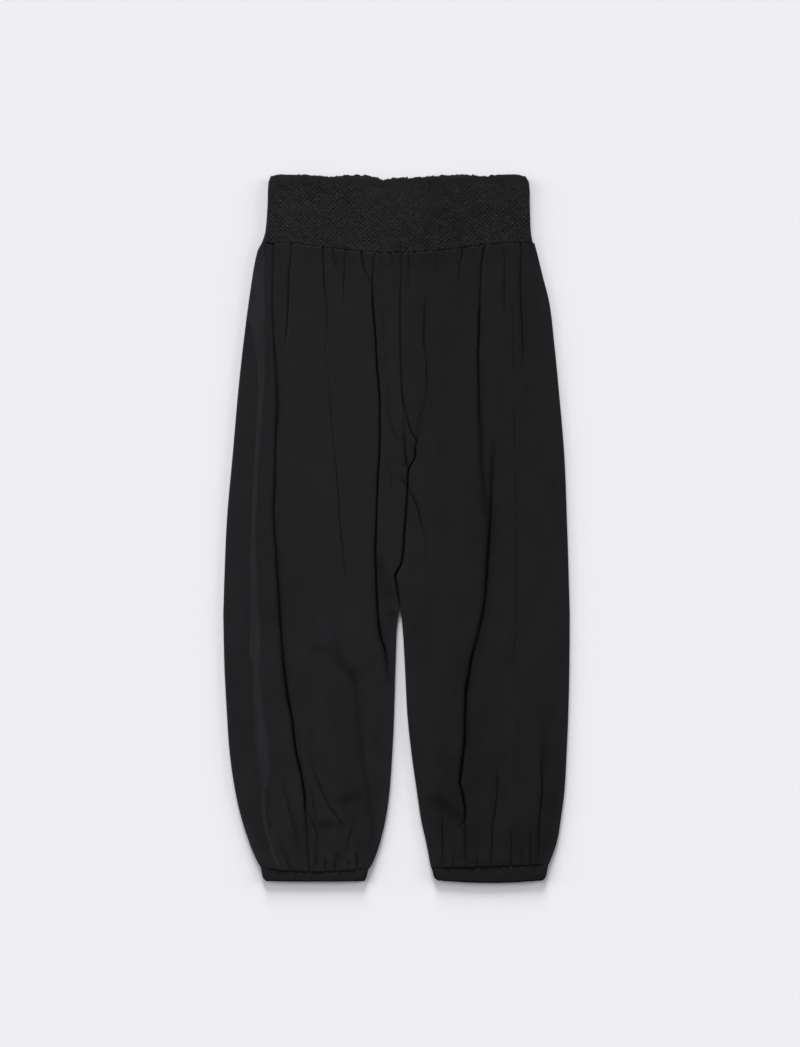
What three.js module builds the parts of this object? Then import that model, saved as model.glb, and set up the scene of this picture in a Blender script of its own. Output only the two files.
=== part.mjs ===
// Harem trousers with a smocked waistband and elastic ankle cuffs, laid flat on their back, face up.
// Millimetres. X runs to the wearer's left, Y towards the waist, Z up from the surface they lie on.
import * as THREE from "three";

const cloth = 1.6; // jersey wall, with the air that the gathered cloth holds
const seamGap = 0.3; // between two pieces at a seam
const rollRadius = 2.2; // outside radius of the cloth where it turns over at a side edge
const layerFloor = 2 * cloth + 0.35; // lowest top surface: the front lying on the back
const crownRise = 1.4; // how far the front lifts off between its edges
const crownRun = 26; // how far in from an edge that takes
const waistLift = 1.6; // extra height where the cloth is gathered into the waistband
const waistLiftRun = 34;
const cuffLift = 1.2; // and into a cuff
const cuffLiftRun = 26;
const crotchY = -106; // where the legs part
const waistY = 383; // waist seam at the sides
const waistSag = 14; // how much lower the seam lies in the middle
const waistWidth = 360;
const cuffSeamY = -449;

const band = {
  wall: 2.4,
  radius: 3.2,
  top: 473,
  header: 14, // plain ruffled strip above the smocking
  diamondsAcross: 29,
  diamondRows: 7, // each raised diamond stands for four of the real ones, which are 4.3 mm apart
  relief: 0.9,
  ruffle: 0.8,
  backShows: 2.5, // how far the back edge stands above the front one
};

// Side outline of the waistband: half widths to the wearer's right and left of the middle line.
const bandOutline = [
  { y: 383, right: 180.5, left: 182.5 },
  { y: 398, right: 175.5, left: 179.5 },
  { y: 430, right: 172.5, left: 178 },
  { y: 464, right: 171, left: 177 },
  { y: 473, right: 167, left: 171 },
];

// Front rise seam, from the waist to the crotch. It wanders because the two halves are folded over it.
const riseSeam = [
  { y: 376, x: 7 },
  { y: 340, x: 5 },
  { y: 280, x: 4.5 },
  { y: 220, x: 5 },
  { y: 170, x: 9 },
  { y: 135, x: 18 },
  { y: 110, x: 25 },
  { y: 97, x: 23 },
  { y: 84, x: 16 },
  { y: 50, x: 14 },
  { y: 0, x: 10.5 },
  { y: -46, x: 6.5 },
  { y: -62, x: -1.5 },
  { y: -76, x: 0 },
  { y: -106, x: 4.5 },
];

// Heights at which the fold lines below are given, one value of a line for each.
const foldStations = [376, 304, 190, 60, -75, -200, -325, -448];
// A line that two folds of the left leg lie on, one above and one below.
const thighLine = [145, 143.5, 142, 144, 141, 133, 134.5, 125.5];

// Each leg: its outline as distances out from the middle line, and the lines that its folds follow.
// at: the line's place at each fold station. from, to: the stretch of it that is folded. depth, lip: how far
// the cloth dips in the fold and stands up beside it. sharp (1): a fold that is worked out more closely.
// shared (1): a fold on the line of the one before it.
const legs = [
  {
    name: "right",
    side: -1,
    outline: [
      { y: 376, edge: 181, inner: 0 },
      { y: 366, edge: 186.5, inner: 0 },
      { y: 342, edge: 192.5, inner: 0 },
      { y: 304, edge: 198, inner: 0 },
      { y: 250, edge: 205, inner: 0 },
      { y: 190, edge: 211, inner: 0 },
      { y: 100, edge: 219, inner: 0 },
      { y: 10, edge: 227, inner: 0 },
      { y: -106, edge: 231, inner: -4.5 },
      { y: -127, edge: 231, inner: -0.7 },
      { y: -184, edge: 230, inner: 2 },
      { y: -250, edge: 226.5, inner: 4 },
      { y: -300, edge: 223, inner: 6.5 },
      { y: -350, edge: 215.5, inner: 10 },
      { y: -390, edge: 207, inner: 15.5 },
      { y: -420, edge: 198, inner: 23 },
      { y: -440, edge: 187.5, inner: 31.5 },
      { y: -449, edge: 181.5, inner: 36.5 },
    ],
    seam: [176, 180, 181.5, 188, 190.5, 188.5, 177.5, 160],
    folds: [
      { at: [3, 18, 12, 7, 13, 7.5, 12, 38], from: 376, to: 330, depth: 1.2, lip: 0.2 },
      { at: [30, 32, 25, 26, 27.5, 13.5, 17, 43], from: 376, to: -230, depth: 3.4, lip: 1.2, sharp: 1 },
      { at: [68, 70, 60, 52, 46, 34, 29, 51], from: 376, to: 296, depth: 1.7, lip: 0.5 },
      { at: [101, 96, 92, 80, 68, 54, 43, 62], from: 376, to: -420, depth: 1.2, lip: 0.3 },
      { at: [142, 146, 140, 137, 133, 125, 116.5, 108.5], from: 376, to: 230, depth: 1.8, lip: 0.4 },
      { at: [167, 167, 161.5, 164, 159.5, 149.5, 132, 117], from: 376, to: -385, depth: 3, lip: 1, sharp: 1 },
      { at: [171.5, 173.5, 171.5, 176, 175, 169, 151.5, 129], from: -330, to: -440, depth: 1.6, lip: 0.4 },
    ],
    outerFold: { share: 0.5, from: 0, to: 0, depth: 0, lip: 0 },
    cuff: {
      inner: 37,
      edge: 182,
      innerY: -454.5,
      edgeY: -454.5,
      sag: 4.5,
      hemInner: 41.5,
      hemEdge: 178.5,
      hemY: -472,
      belly: 0.6,
      cornerIn: 1.3,
      cornerEdge: 3.2,
    },
  },
  {
    name: "left",
    side: 1,
    outline: [
      { y: 376, edge: 184.5, inner: 0 },
      { y: 342, edge: 193.5, inner: 0 },
      { y: 304, edge: 204, inner: 0 },
      { y: 250, edge: 210.5, inner: 0 },
      { y: 190, edge: 216.5, inner: 0 },
      { y: 100, edge: 224.5, inner: 0 },
      { y: 10, edge: 229, inner: 0 },
      { y: -106, edge: 232, inner: 4.5 },
      { y: -127, edge: 232, inner: 7.4 },
      { y: -184, edge: 231.5, inner: 11.5 },
      { y: -250, edge: 230, inner: 15 },
      { y: -300, edge: 228, inner: 20 },
      { y: -350, edge: 225.5, inner: 27 },
      { y: -390, edge: 220.5, inner: 33 },
      { y: -420, edge: 215.5, inner: 40 },
      { y: -449, edge: 204.5, inner: 46.8 },
    ],
    seam: [157.5, 156, 157, 159, 160, 157, 152.5, 150],
    folds: [
      { at: [35, 37.5, 40, 32, 33, 35, 41, 53], from: 304, to: 130, depth: 1.5, lip: 0.4 },
      { at: [53, 54, 60, 58, 58, 54, 57, 61], from: 376, to: 318, depth: 1.5, lip: 0.4 },
      { at: [86, 83, 84, 84, 81, 67, 66, 71], from: 376, to: 318, depth: 1.7, lip: 0.4 },
      { at: [118.5, 111, 109, 115, 101, 80, 76, 82], from: 376, to: 40, depth: 3, lip: 1, sharp: 1 },
      { at: [131, 129, 128, 128, 119.5, 95, 87, 93], from: 118, to: -410, depth: 3.4, lip: 1.2, sharp: 1 },
      { at: thighLine, from: 376, to: 290, depth: 1.6, lip: 0.4 },
      { at: thighLine, from: -325, to: -440, depth: 1.9, lip: 0.5, shared: 1 },
    ],
    outerFold: { share: 0.42, from: -300, to: -435, depth: 1.9, lip: 0.4 },
    cuff: {
      inner: 47,
      edge: 204,
      innerY: -454.3,
      edgeY: -449,
      sag: 0,
      hemInner: 51.5,
      hemEdge: 199.5,
      hemY: -471.2,
      belly: 3.2,
      cornerIn: 3.2,
      cornerEdge: 2.7,
    },
  },
];

// Rows of the leg panels, closer together at the gathers and where the rise seam turns.
const legRows = [
  -448, -436, -420, -395, -360, -310, -250, -190, -140, -112, -92, -76, -62, -46, 0, 50, 84, 97, 110, 135,
  170, 220, 280, 330, 360, 376,
];
const rollSteps = 3; // columns in a quarter turn
const foldReach = 7; // half width of a fold
const foldFade = 45; // length over which a fold runs out

const smooth = (t) => THREE.MathUtils.smoothstep(t, 0, 1);

// Value of a column of a table at height y: a cubic through the rows, with no overshoot at the ends.
function along(rows, column, y) {
  const sorted = [...rows].sort((a, b) => a.y - b.y);
  const last = sorted.length - 1;
  const clamped = THREE.MathUtils.clamp(y, sorted[0].y, sorted[last].y);
  let k = 0;
  while (k < last - 1 && clamped > sorted[k + 1].y) k += 1;
  const [before, low, high, after] = [k - 1, k, k + 1, k + 2].map(
    (i) => sorted[THREE.MathUtils.clamp(i, 0, last)],
  );
  const run = high.y - low.y;
  const t = (clamped - low.y) / run;
  const slopeLow = ((high[column] - before[column]) / (high.y - before.y)) * run;
  const slopeHigh = ((after[column] - low[column]) / (after.y - low.y)) * run;
  const t2 = t * t;
  const t3 = t2 * t;
  return (
    (2 * t3 - 3 * t2 + 1) * low[column] +
    (t3 - 2 * t2 + t) * slopeLow +
    (3 * t2 - 2 * t3) * high[column] +
    (t3 - t2) * slopeHigh
  );
}

const lineAt = (values, y) =>
  along(
    foldStations.map((station, i) => ({ y: station, s: values[i] })),
    "s",
    y,
  );

// Height of the front's waist seam, which sags towards the middle. The back's runs straight across.
const waistCurve = (x) => waistY - waistSag * Math.cos((Math.PI * x) / waistWidth) ** 2;

// Inner limit of a leg's front: the rise seam above the crotch, the leg's inner edge below it.
function frontInner(leg, y) {
  if (y <= crotchY) return along(leg.outline, "inner", y);
  return leg.side * along(riseSeam, "x", y);
}

// The back rise seam runs straight from the waist to the crotch.
function backInner(leg, y) {
  if (y <= crotchY) return along(leg.outline, "inner", y);
  const t = (y - crotchY) / (waistY - crotchY);
  return leg.side * THREE.MathUtils.lerp(4.5, 2, t);
}

// How far a leg's inner edge is turned over: not at all along the rise, a quarter turn below the crotch.
const innerTurn = (y) => (Math.PI / 2) * smooth((crotchY + 10 - y) / 36);

// Height of the turned-over side edges.
function edgeHeight(y) {
  const nearWaist = smooth(1 - (waistY - y) / waistLiftRun);
  const nearCuff = smooth(1 - (y - cuffSeamY) / cuffLiftRun);
  return 2 * rollRadius + seamGap + waistLift * nearWaist + cuffLift * nearCuff;
}

// Dip and lips that one fold gives the cloth at a distance from its line.
function foldRise(fold, distance, y) {
  const high = Math.max(fold.from, fold.to);
  const low = Math.min(fold.from, fold.to);
  const startsAtWaist = high > 370;
  const endsAtCuff = low < -430;
  const fadeIn = startsAtWaist ? 1 : smooth((high - y) / foldFade);
  const fadeOut = endsAtCuff ? 1 : smooth((y - low) / foldFade);
  const near = distance / foldReach;
  const dip = fold.depth * Math.exp(-((near / 0.55) ** 2));
  const lips = fold.lip * Math.exp(-(((Math.abs(near) - 1.25) / 0.55) ** 2));
  return fadeIn * fadeOut * (lips - dip);
}

// The rise seam is drawn in, most of all over its lower half.
function riseDip(leg, s, y) {
  if (y < crotchY) return 0;
  const pull = 0.9 + 1.7 * smooth((118 - y) / 20) * smooth((y + 96) / 30);
  const distance = (s - frontInner(leg, y)) / foldReach;
  return -pull * Math.exp(-((distance / 0.7) ** 2));
}

// Top surface of a leg, s out from the middle line and y up the leg.
function topHeight(leg, s, y) {
  const fromEdge = along(leg.outline, "edge", y) - s;
  const fromInner = y < crotchY ? s - frontInner(leg, y) : crownRun;
  const crown = crownRise * smooth((fromEdge - 2) / crownRun) * smooth((fromInner - 2) / crownRun);
  let z = edgeHeight(y) + crown + riseDip(leg, s, y);
  for (const fold of leg.folds) z += foldRise(fold, s - lineAt(fold.at, y), y);
  const edge = along(leg.outline, "edge", y);
  const seam = lineAt(leg.seam, y);
  z += foldRise(leg.outerFold, s - THREE.MathUtils.lerp(seam, edge, leg.outerFold.share), y);
  return Math.max(z, layerFloor);
}

// Closed wall between an outer and an inner grid of points, rows by columns. A ring closes on itself.
function wallGeometry(outer, inner, { ring = false, mirrored = false, ridges = false } = {}) {
  const rows = outer.length;
  const columns = outer[0].length;
  const positions = [];
  for (const point of [...outer.flat(), ...inner.flat()]) positions.push(point.x, point.y, point.z);
  const at = (layer, j, i) => layer * rows * columns + j * columns + (i % columns);
  const triangles = [];
  const quad = (a, b, c, d, other = false) => {
    if (other) triangles.push([a, b, d], [b, c, d]);
    else triangles.push([a, b, c], [a, c, d]);
  };
  const spans = ring ? columns : columns - 1;
  for (let j = 0; j < rows - 1; j += 1) {
    for (let i = 0; i < spans; i += 1) {
      const other = ridges && (i + j) % 2 === 1;
      quad(at(0, j, i), at(0, j, i + 1), at(0, j + 1, i + 1), at(0, j + 1, i), other);
      quad(at(1, j + 1, i), at(1, j + 1, i + 1), at(1, j, i + 1), at(1, j, i));
    }
  }
  for (let i = 0; i < spans; i += 1) {
    quad(at(1, 0, i), at(1, 0, i + 1), at(0, 0, i + 1), at(0, 0, i));
    quad(at(0, rows - 1, i), at(0, rows - 1, i + 1), at(1, rows - 1, i + 1), at(1, rows - 1, i));
  }
  if (!ring) {
    const end = columns - 1;
    for (let j = 0; j < rows - 1; j += 1) {
      quad(at(0, j, 0), at(0, j + 1, 0), at(1, j + 1, 0), at(1, j, 0));
      quad(at(1, j, end), at(1, j + 1, end), at(0, j + 1, end), at(0, j, end));
    }
  }
  const geometry = new THREE.BufferGeometry();
  geometry.setAttribute("position", new THREE.Float32BufferAttribute(positions, 3));
  geometry.setIndex(triangles.flatMap(([a, b, c]) => (mirrored ? [a, c, b] : [a, b, c])));
  geometry.computeVertexNormals();
  return geometry;
}

// A point on a section: s out from the middle, z up, and the way into the wall from there.
const sectionPoint = (s, z, inS, inZ) => ({ s, z, inS, inZ });

// Quarter-turned strip at a leg's inner edge. turn bends it from flat to a quarter circle of rollRadius.
function innerStrip(limit, flatZ, turn, up) {
  const length = (Math.PI / 2) * rollRadius;
  const points = [];
  const bendRadius = turn > 0.02 ? length / turn : 0;
  const start = limit + (bendRadius ? bendRadius * Math.sin(turn) : length);
  for (let k = 0; k <= rollSteps; k += 1) {
    const angle = (turn * k) / rollSteps;
    const s = bendRadius ? start - bendRadius * Math.sin(angle) : start - (length * k) / rollSteps;
    const drop = bendRadius ? bendRadius * (1 - Math.cos(angle)) : 0;
    points.push(sectionPoint(s, flatZ - up * drop, Math.sin(angle), -up * Math.cos(angle)));
  }
  return points;
}

// Section of a leg's front at height y, from its inner edge out to the side seam.
function frontSection(leg, y) {
  const inner = frontInner(leg, y) + seamGap / 2;
  const seam = lineAt(leg.seam, y) - seamGap / 2;
  const strip = innerStrip(inner, topHeight(leg, inner + rollRadius, y), innerTurn(y), 1);
  const startS = strip[0].s;
  const lines = leg.folds.filter((fold) => !fold.shared).map((fold) => ({ s: lineAt(fold.at, y), fold }));
  const stops = [{ s: startS }, ...lines, { s: seam }];
  const columns = [];
  for (let k = 0; k < stops.length - 1; k += 1) {
    const gap = stops[k + 1].s - stops[k].s;
    const lip = Math.min(0.55 * foldReach, 0.3 * gap);
    const low = stops[k].s + (stops[k].fold?.sharp ? lip : 0);
    const high = stops[k + 1].s - (stops[k + 1].fold?.sharp ? lip : 0);
    if (k > 0) columns.push(stops[k].s);
    if (stops[k].fold?.sharp) columns.push(low);
    columns.push((low + high) / 2);
    if (stops[k + 1].fold?.sharp) columns.push(high);
  }
  columns.push(seam);
  const flat = columns.map((s) => sectionPoint(s, topHeight(leg, s, y), 0, -1));
  return [...strip.reverse(), ...flat];
}

// Section of a leg's back at height y: from the side seam over the outer edge, then in along the surface.
function backSection(leg, y) {
  const seam = lineAt(leg.seam, y) + seamGap / 2;
  const edge = along(leg.outline, "edge", y);
  const radius = edgeHeight(y) / 2;
  const turnFrom = edge - radius;
  const fold = THREE.MathUtils.lerp(lineAt(leg.seam, y), edge, leg.outerFold.share);
  const foldS = THREE.MathUtils.clamp(fold, seam + 0.3 * (turnFrom - seam), seam + 0.7 * (turnFrom - seam));
  const top = [seam, (seam + foldS) / 2, foldS, (foldS + turnFrom) / 2].map((s) =>
    sectionPoint(s, topHeight(leg, s, y), 0, -1),
  );
  const turn = [];
  for (let k = 0; k <= 2 * rollSteps; k += 1) {
    const angle = Math.PI / 2 - (Math.PI * k) / (2 * rollSteps);
    const [c, n] = [Math.cos(angle), Math.sin(angle)];
    turn.push(sectionPoint(turnFrom + radius * c, radius + radius * n, -c, -n));
  }
  const inner = backInner(leg, y) + seamGap / 2;
  const strip = innerStrip(inner, 0, innerTurn(y), -1);
  const bottom = [0.25, 0.5, 0.75].map((share) =>
    sectionPoint(THREE.MathUtils.lerp(turnFrom, strip[0].s, share), 0, 0, 1),
  );
  return [...top, ...turn, ...bottom, ...strip];
}

// Height of a cuff's seam, across from the inner edge (0) to the outer edge (1). It sags on the front only.
function cuffSeam(cuff, across, onFront) {
  const sag = onFront ? cuff.sag * Math.sin(Math.PI * THREE.MathUtils.clamp(across, 0, 1)) : 0;
  return THREE.MathUtils.lerp(cuff.innerY, cuff.edgeY, across) - sag;
}

// Height at which a row crosses a place: its ends follow the waist seam and the cuff seam.
function rowHeight(leg, { s, z }, y) {
  const nearWaist = smooth(1 - (waistY - 7 - y) / 60);
  const nearCuff = smooth(1 - (y - cuffSeamY - 1) / 40);
  const across = (s - leg.cuff.inner) / (leg.cuff.edge - leg.cuff.inner);
  const onFront = z > rollRadius;
  const cuffShift = cuffSeam(leg.cuff, across, onFront) - cuffSeamY;
  const waistSeam = onFront ? waistCurve(leg.side * s) : waistY;
  const waistShift = waistSeam - seamGap / 2 - (waistY - 7);
  return y + nearWaist * waistShift + nearCuff * (cuffShift + seamGap / 2 - 1);
}

function legPanel(leg, section) {
  const outer = [];
  const inner = [];
  for (const y of legRows) {
    const points = section(leg, y);
    const place = (p, depth) => {
      const s = p.s + depth * p.inS;
      return new THREE.Vector3(leg.side * s, rowHeight(leg, p, y), p.z + depth * p.inZ);
    };
    outer.push(points.map((p) => place(p, 0)));
    inner.push(points.map((p) => place(p, cloth)));
  }
  return wallGeometry(outer, inner, { mirrored: leg.side < 0 });
}

// Top edge of the waistband: small ruffle waves on a slow rise and fall.
const bandTop = (x, wave) => band.top + 1.2 * Math.cos(x / 31) + wave * 0.6 * band.ruffle;

// One side of the waistband. The front is smocked, the back lies on the surface.
function bandPanel(isFront) {
  const columns = isFront ? 2 * band.diamondsAcross : 20;
  const smockedRows = isFront ? 2 * band.diamondRows : 3;
  const rows = smockedRows + 3;
  const outer = [];
  const inner = [];
  for (let j = 0; j < rows; j += 1) {
    const inHeader = j > smockedRows;
    const share = inHeader ? 1 + (j - smockedRows) / 2 : j / smockedRows;
    const [outerRow, innerRow] = [[], []];
    const steps = [];
    for (let k = 0; k < rollSteps; k += 1) steps.push({ turn: 1 - k / rollSteps, across: 0 });
    for (let i = 0; i <= columns; i += 1) steps.push({ turn: 0, across: i / columns, i });
    for (let k = 1; k <= rollSteps; k += 1) steps.push({ turn: k / rollSteps, across: 1 });
    for (const { turn, across, i } of steps) {
      const nominal = THREE.MathUtils.lerp(-waistWidth / 2, waistWidth / 2, across);
      const wave = i === undefined ? 0 : i % 2 ? -1 : 1;
      const low = (isFront ? waistCurve(nominal) : waistY) + seamGap / 2;
      const top = bandTop(nominal, wave) + (isFront ? -band.backShows : 0);
      const headerFoot = band.top - band.header;
      const y = inHeader
        ? THREE.MathUtils.lerp(headerFoot, top, share - 1)
        : THREE.MathUtils.lerp(low, headerFoot, share);
      const right = along(bandOutline, "right", y);
      const left = along(bandOutline, "left", y);
      const flatX = THREE.MathUtils.lerp(-right + band.radius, left - band.radius, across);
      const angle = (turn * Math.PI) / 2;
      const outward = across === 0 ? -1 : 1;
      const raised = isFront && !inHeader && j > 0 && i > 0 && i < columns && (i + j) % 2 === 0;
      const ruffled = isFront && inHeader && i > 0 && i < columns ? 0.5 * band.ruffle * (1 + wave) : 0;
      const lift = (raised ? band.relief : 0) + ruffled;
      const up = isFront ? 1 : -1;
      const level = isFront ? 2 * band.radius + seamGap : 0;
      const centreZ = level - up * band.radius;
      const place = (radius, extra) =>
        new THREE.Vector3(
          flatX + (turn ? outward * radius * Math.sin(angle) : 0),
          y,
          centreZ + up * (radius * Math.cos(angle) + extra),
        );
      outerRow.push(place(band.radius, lift));
      innerRow.push(place(band.radius - band.wall, 0));
    }
    outer.push(outerRow);
    inner.push(innerRow);
  }
  return wallGeometry(outer, inner, { mirrored: !isFront, ridges: isFront });
}

// Elastic cuff: one ring of doubled cloth, pressed flat, with fine gathers on its front.
function cuffRing(leg) {
  const { inner, edge, hemInner, hemEdge, hemY, belly, cornerIn, cornerEdge } = leg.cuff;
  const [wall, radius, frontColumns, backColumns] = [2.2, 3, 22, 8];
  const rowShares = [1, 0.86, 0.5, 0]; // from the hem up to the seam
  const cornerShares = [1, 0.3, 0, 0]; // how much of the corner's rounding each row takes
  const outerRows = [];
  const innerRows = [];
  for (const [k, share] of rowShares.entries()) {
    const lowS = THREE.MathUtils.lerp(inner, hemInner, share) + cornerShares[k] * cornerIn + radius;
    const highS = THREE.MathUtils.lerp(edge, hemEdge, share) - cornerShares[k] * cornerEdge - radius;
    const loop = [];
    for (let i = 0; i <= frontColumns; i += 1) {
      const gather = i % 2 && i < frontColumns ? 0.5 : 0;
      loop.push({ across: i / frontColumns, angle: Math.PI / 2, gather });
    }
    for (let m = 1; m < 2 * rollSteps; m += 1)
      loop.push({ across: 1, angle: Math.PI / 2 - (Math.PI * m) / (2 * rollSteps), gather: 0 });
    for (let i = 0; i <= backColumns; i += 1)
      loop.push({ across: 1 - i / backColumns, angle: -Math.PI / 2, gather: 0 });
    for (let m = 1; m < 2 * rollSteps; m += 1)
      loop.push({ across: 0, angle: -Math.PI / 2 - (Math.PI * m) / (2 * rollSteps), gather: 0 });
    const place = (p, depth) => {
      const s = THREE.MathUtils.lerp(lowS, highS, p.across) + (radius - depth) * Math.cos(p.angle);
      const seamY = cuffSeam(leg.cuff, p.across, p.angle > 0) - seamGap / 2;
      const hem = hemY - belly * Math.sin(Math.PI * p.across) - (depth ? 0 : p.gather);
      const y = THREE.MathUtils.lerp(seamY, hem, share);
      const z = radius + (radius - depth) * Math.sin(p.angle) + (depth ? 0 : p.gather);
      return new THREE.Vector3(leg.side * s, y, z);
    };
    outerRows.push(loop.map((p) => place(p, 0)));
    innerRows.push(loop.map((p) => place(p, wall)));
  }
  return wallGeometry(outerRows, innerRows, { ring: true, mirrored: leg.side < 0 });
}

const jersey = new THREE.MeshStandardMaterial({ color: 0x1b1c1e, roughness: 0.85, metalness: 0 });
const smocked = new THREE.MeshStandardMaterial({ color: 0x1d1e20, roughness: 0.9, metalness: 0 });
const elastic = new THREE.MeshStandardMaterial({ color: 0x191a1c, roughness: 0.9, metalness: 0 });

function named(name, geometry, material) {
  const mesh = new THREE.Mesh(geometry, material);
  mesh.name = name;
  return mesh;
}

const trousers = new THREE.Group();
trousers.add(named("waistband_front", bandPanel(true), smocked));
trousers.add(named("waistband_back", bandPanel(false), smocked));
for (const leg of legs) {
  trousers.add(named(`${leg.name}_leg_front`, legPanel(leg, frontSection), jersey));
  trousers.add(named(`${leg.name}_leg_back`, legPanel(leg, backSection), jersey));
  trousers.add(named(`${leg.name}_cuff`, cuffRing(leg), elastic));
}

export default trousers;
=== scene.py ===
import math

import bmesh
import bpy
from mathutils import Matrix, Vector, noise


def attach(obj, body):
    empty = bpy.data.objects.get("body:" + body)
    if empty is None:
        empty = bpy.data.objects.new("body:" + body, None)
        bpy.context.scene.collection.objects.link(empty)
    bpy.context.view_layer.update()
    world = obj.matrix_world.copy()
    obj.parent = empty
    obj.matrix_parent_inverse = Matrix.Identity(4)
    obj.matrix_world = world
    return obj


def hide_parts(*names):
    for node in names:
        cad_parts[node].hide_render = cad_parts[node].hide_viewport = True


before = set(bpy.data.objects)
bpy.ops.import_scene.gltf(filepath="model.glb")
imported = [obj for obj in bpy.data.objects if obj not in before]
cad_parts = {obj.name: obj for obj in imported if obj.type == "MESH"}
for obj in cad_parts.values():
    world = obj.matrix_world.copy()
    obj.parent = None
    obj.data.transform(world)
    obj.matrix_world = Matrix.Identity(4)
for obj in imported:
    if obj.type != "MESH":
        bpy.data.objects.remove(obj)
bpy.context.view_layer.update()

# Harem trousers laid flat on their back, front up. All tables are in millimetres, in the frame's own
# directions: x to the wearer's left, y to the waist, z up. "Out" is the distance from the middle line,
# on either leg.

mm = 0.001


def smooth(t):
    t = min(1.0, max(0.0, t))
    return t * t * (3 - 2 * t)


def mix(a, b, t):
    return a + (b - a) * t


def bell(d, width):
    return math.exp(-((d / width) ** 2))


def straight(rows, y, column=1):
    # rows run from the highest y down
    if y >= rows[0][0]:
        return rows[0][column]
    for above, below in zip(rows, rows[1:]):
        if y >= below[0]:
            return mix(below[column], above[column], (y - below[0]) / (above[0] - below[0]))
    return rows[-1][column]


def curved(rows, y):
    # a cubic through the rows, which run from the highest y down
    last = len(rows) - 1
    if y >= rows[0][0]:
        return rows[0][1]
    if y <= rows[last][0]:
        return rows[last][1]
    k = 0
    while y < rows[k + 1][0]:
        k += 1
    (y0, a0), (y1, a1) = rows[k], rows[k + 1]
    yB, aB = rows[max(k - 1, 0)]
    yC, aC = rows[min(k + 2, last)]
    run = y1 - y0
    t = (y - y0) / run
    m0 = (a1 - aB) / (y1 - yB) * run
    m1 = (aC - a0) / (yC - y0) * run
    t2, t3 = t * t, t * t * t
    return (2 * t3 - 3 * t2 + 1) * a0 + (t3 - 2 * t2 + t) * m0 + (3 * t2 - 2 * t3) * a1 + (t3 - t2) * m1


def ripple(x, y, z=0.0):
    return noise.noise(Vector((x, y, z)))


def fold(line, deep, wide, lip=0.3, over=1, apron=None):
    # line = (y, x) down its length, deep = (y, depth), wide = half width of the slot, lip = how far the
    # cloth stands up beside it, over = the side, in x, that lies over the other, apron = (y, soft painted
    # shade to its left, to its right)
    return {"line": line, "deep": deep, "wide": wide, "lip": lip, "over": over, "apron": apron}


garment = {
    "rollRadius": 2.2,
    "edgeHeight": 4.7,
    "crownRise": 1.4,
    "crownRun": 26.0,
    "waistLift": 1.0,
    "waistRun": 34.0,
    "cuffLift": 1.2,
    "cuffRun": 26.0,
    "crotchY": -106.0,
    "waistY": 383.0,
    "waistSag": 14.0,
    "waistWidth": 360.0,
    "waistUneven": (1.7, 0.9),
    "waistHalf": 184.0,
    "cuffSeamY": -449.0,
    "clothTop": 376.0,  # rows of the legs, before their ends are bent to the seams
    "clothFoot": -448.0,
    "gatherTop": 371.0,
    "lowestFront": 2.45,
    "lowestTurn": 1.3,
    "longWave": 0.55,
    "shortWave": 0.22,
    "riseWide": 1.6,
    "riseSoft": 7.0,
    "ridgeHeight": 0.9,
    "ridgePaintedLight": 0.4,
    "ridgeDull": 352.0,  # the ridge's painted highlight is half as strong above this
    "shell": 1.1,
}
# pitch, height and run of the small gathers beside a seam
gathers = {
    "frontWaist": (9.5, 0.45, 13),
    "frontCuff": (8.0, 0.5, 9),
    "backWaist": (9.0, 0.5, 12),
    "backCuff": (8.0, 0.5, 8),
}

riseSeam = [(376, 7.6), (340, 5.8), (280, 4.8), (220, 5.6), (180, 8), (156, 12), (140, 16), (127, 20.6),
            (119, 26), (107, 24.5), (95, 25.3), (82, 17.5), (67, 15.2), (50, 14.8), (0, 11.2), (-46, 6.9),
            (-62, -1.4), (-76, 0.3), (-106, 4.5)]
riseDepth = [(376, 1), (330, 0.9), (280, 1.3), (220, 1.2), (160, 1.2), (130, 1.5), (115, 1.3), (103, 2.8),
             (84, 2.2), (68, 2.8), (50, 2.4), (20, 3.1), (0, 3.4), (-50, 3.4), (-72, 2.9), (-106, 1.6)]
# strokes of the waist seam: (x, half run, strength)
waistStrokes = [(-159.5, 3.4, 0.5), (-141, 2.2, 0.5), (-126, 2.2, 0.5), (-65, 5.4, 0.9), (-20.8, 1.8, 0.5),
                (-8.7, 4, 0.6), (1.3, 3.4, 0.9), (10, 2, 0.5), (20.8, 2.7, 0.5), (38, 2.2, 0.5),
                (59, 7.4, 0.8), (92, 8, 0.5), (112, 5, 0.5), (130.6, 2.7, 0.7), (141, 2.2, 0.4),
                (159, 5, 0.4)]

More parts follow.
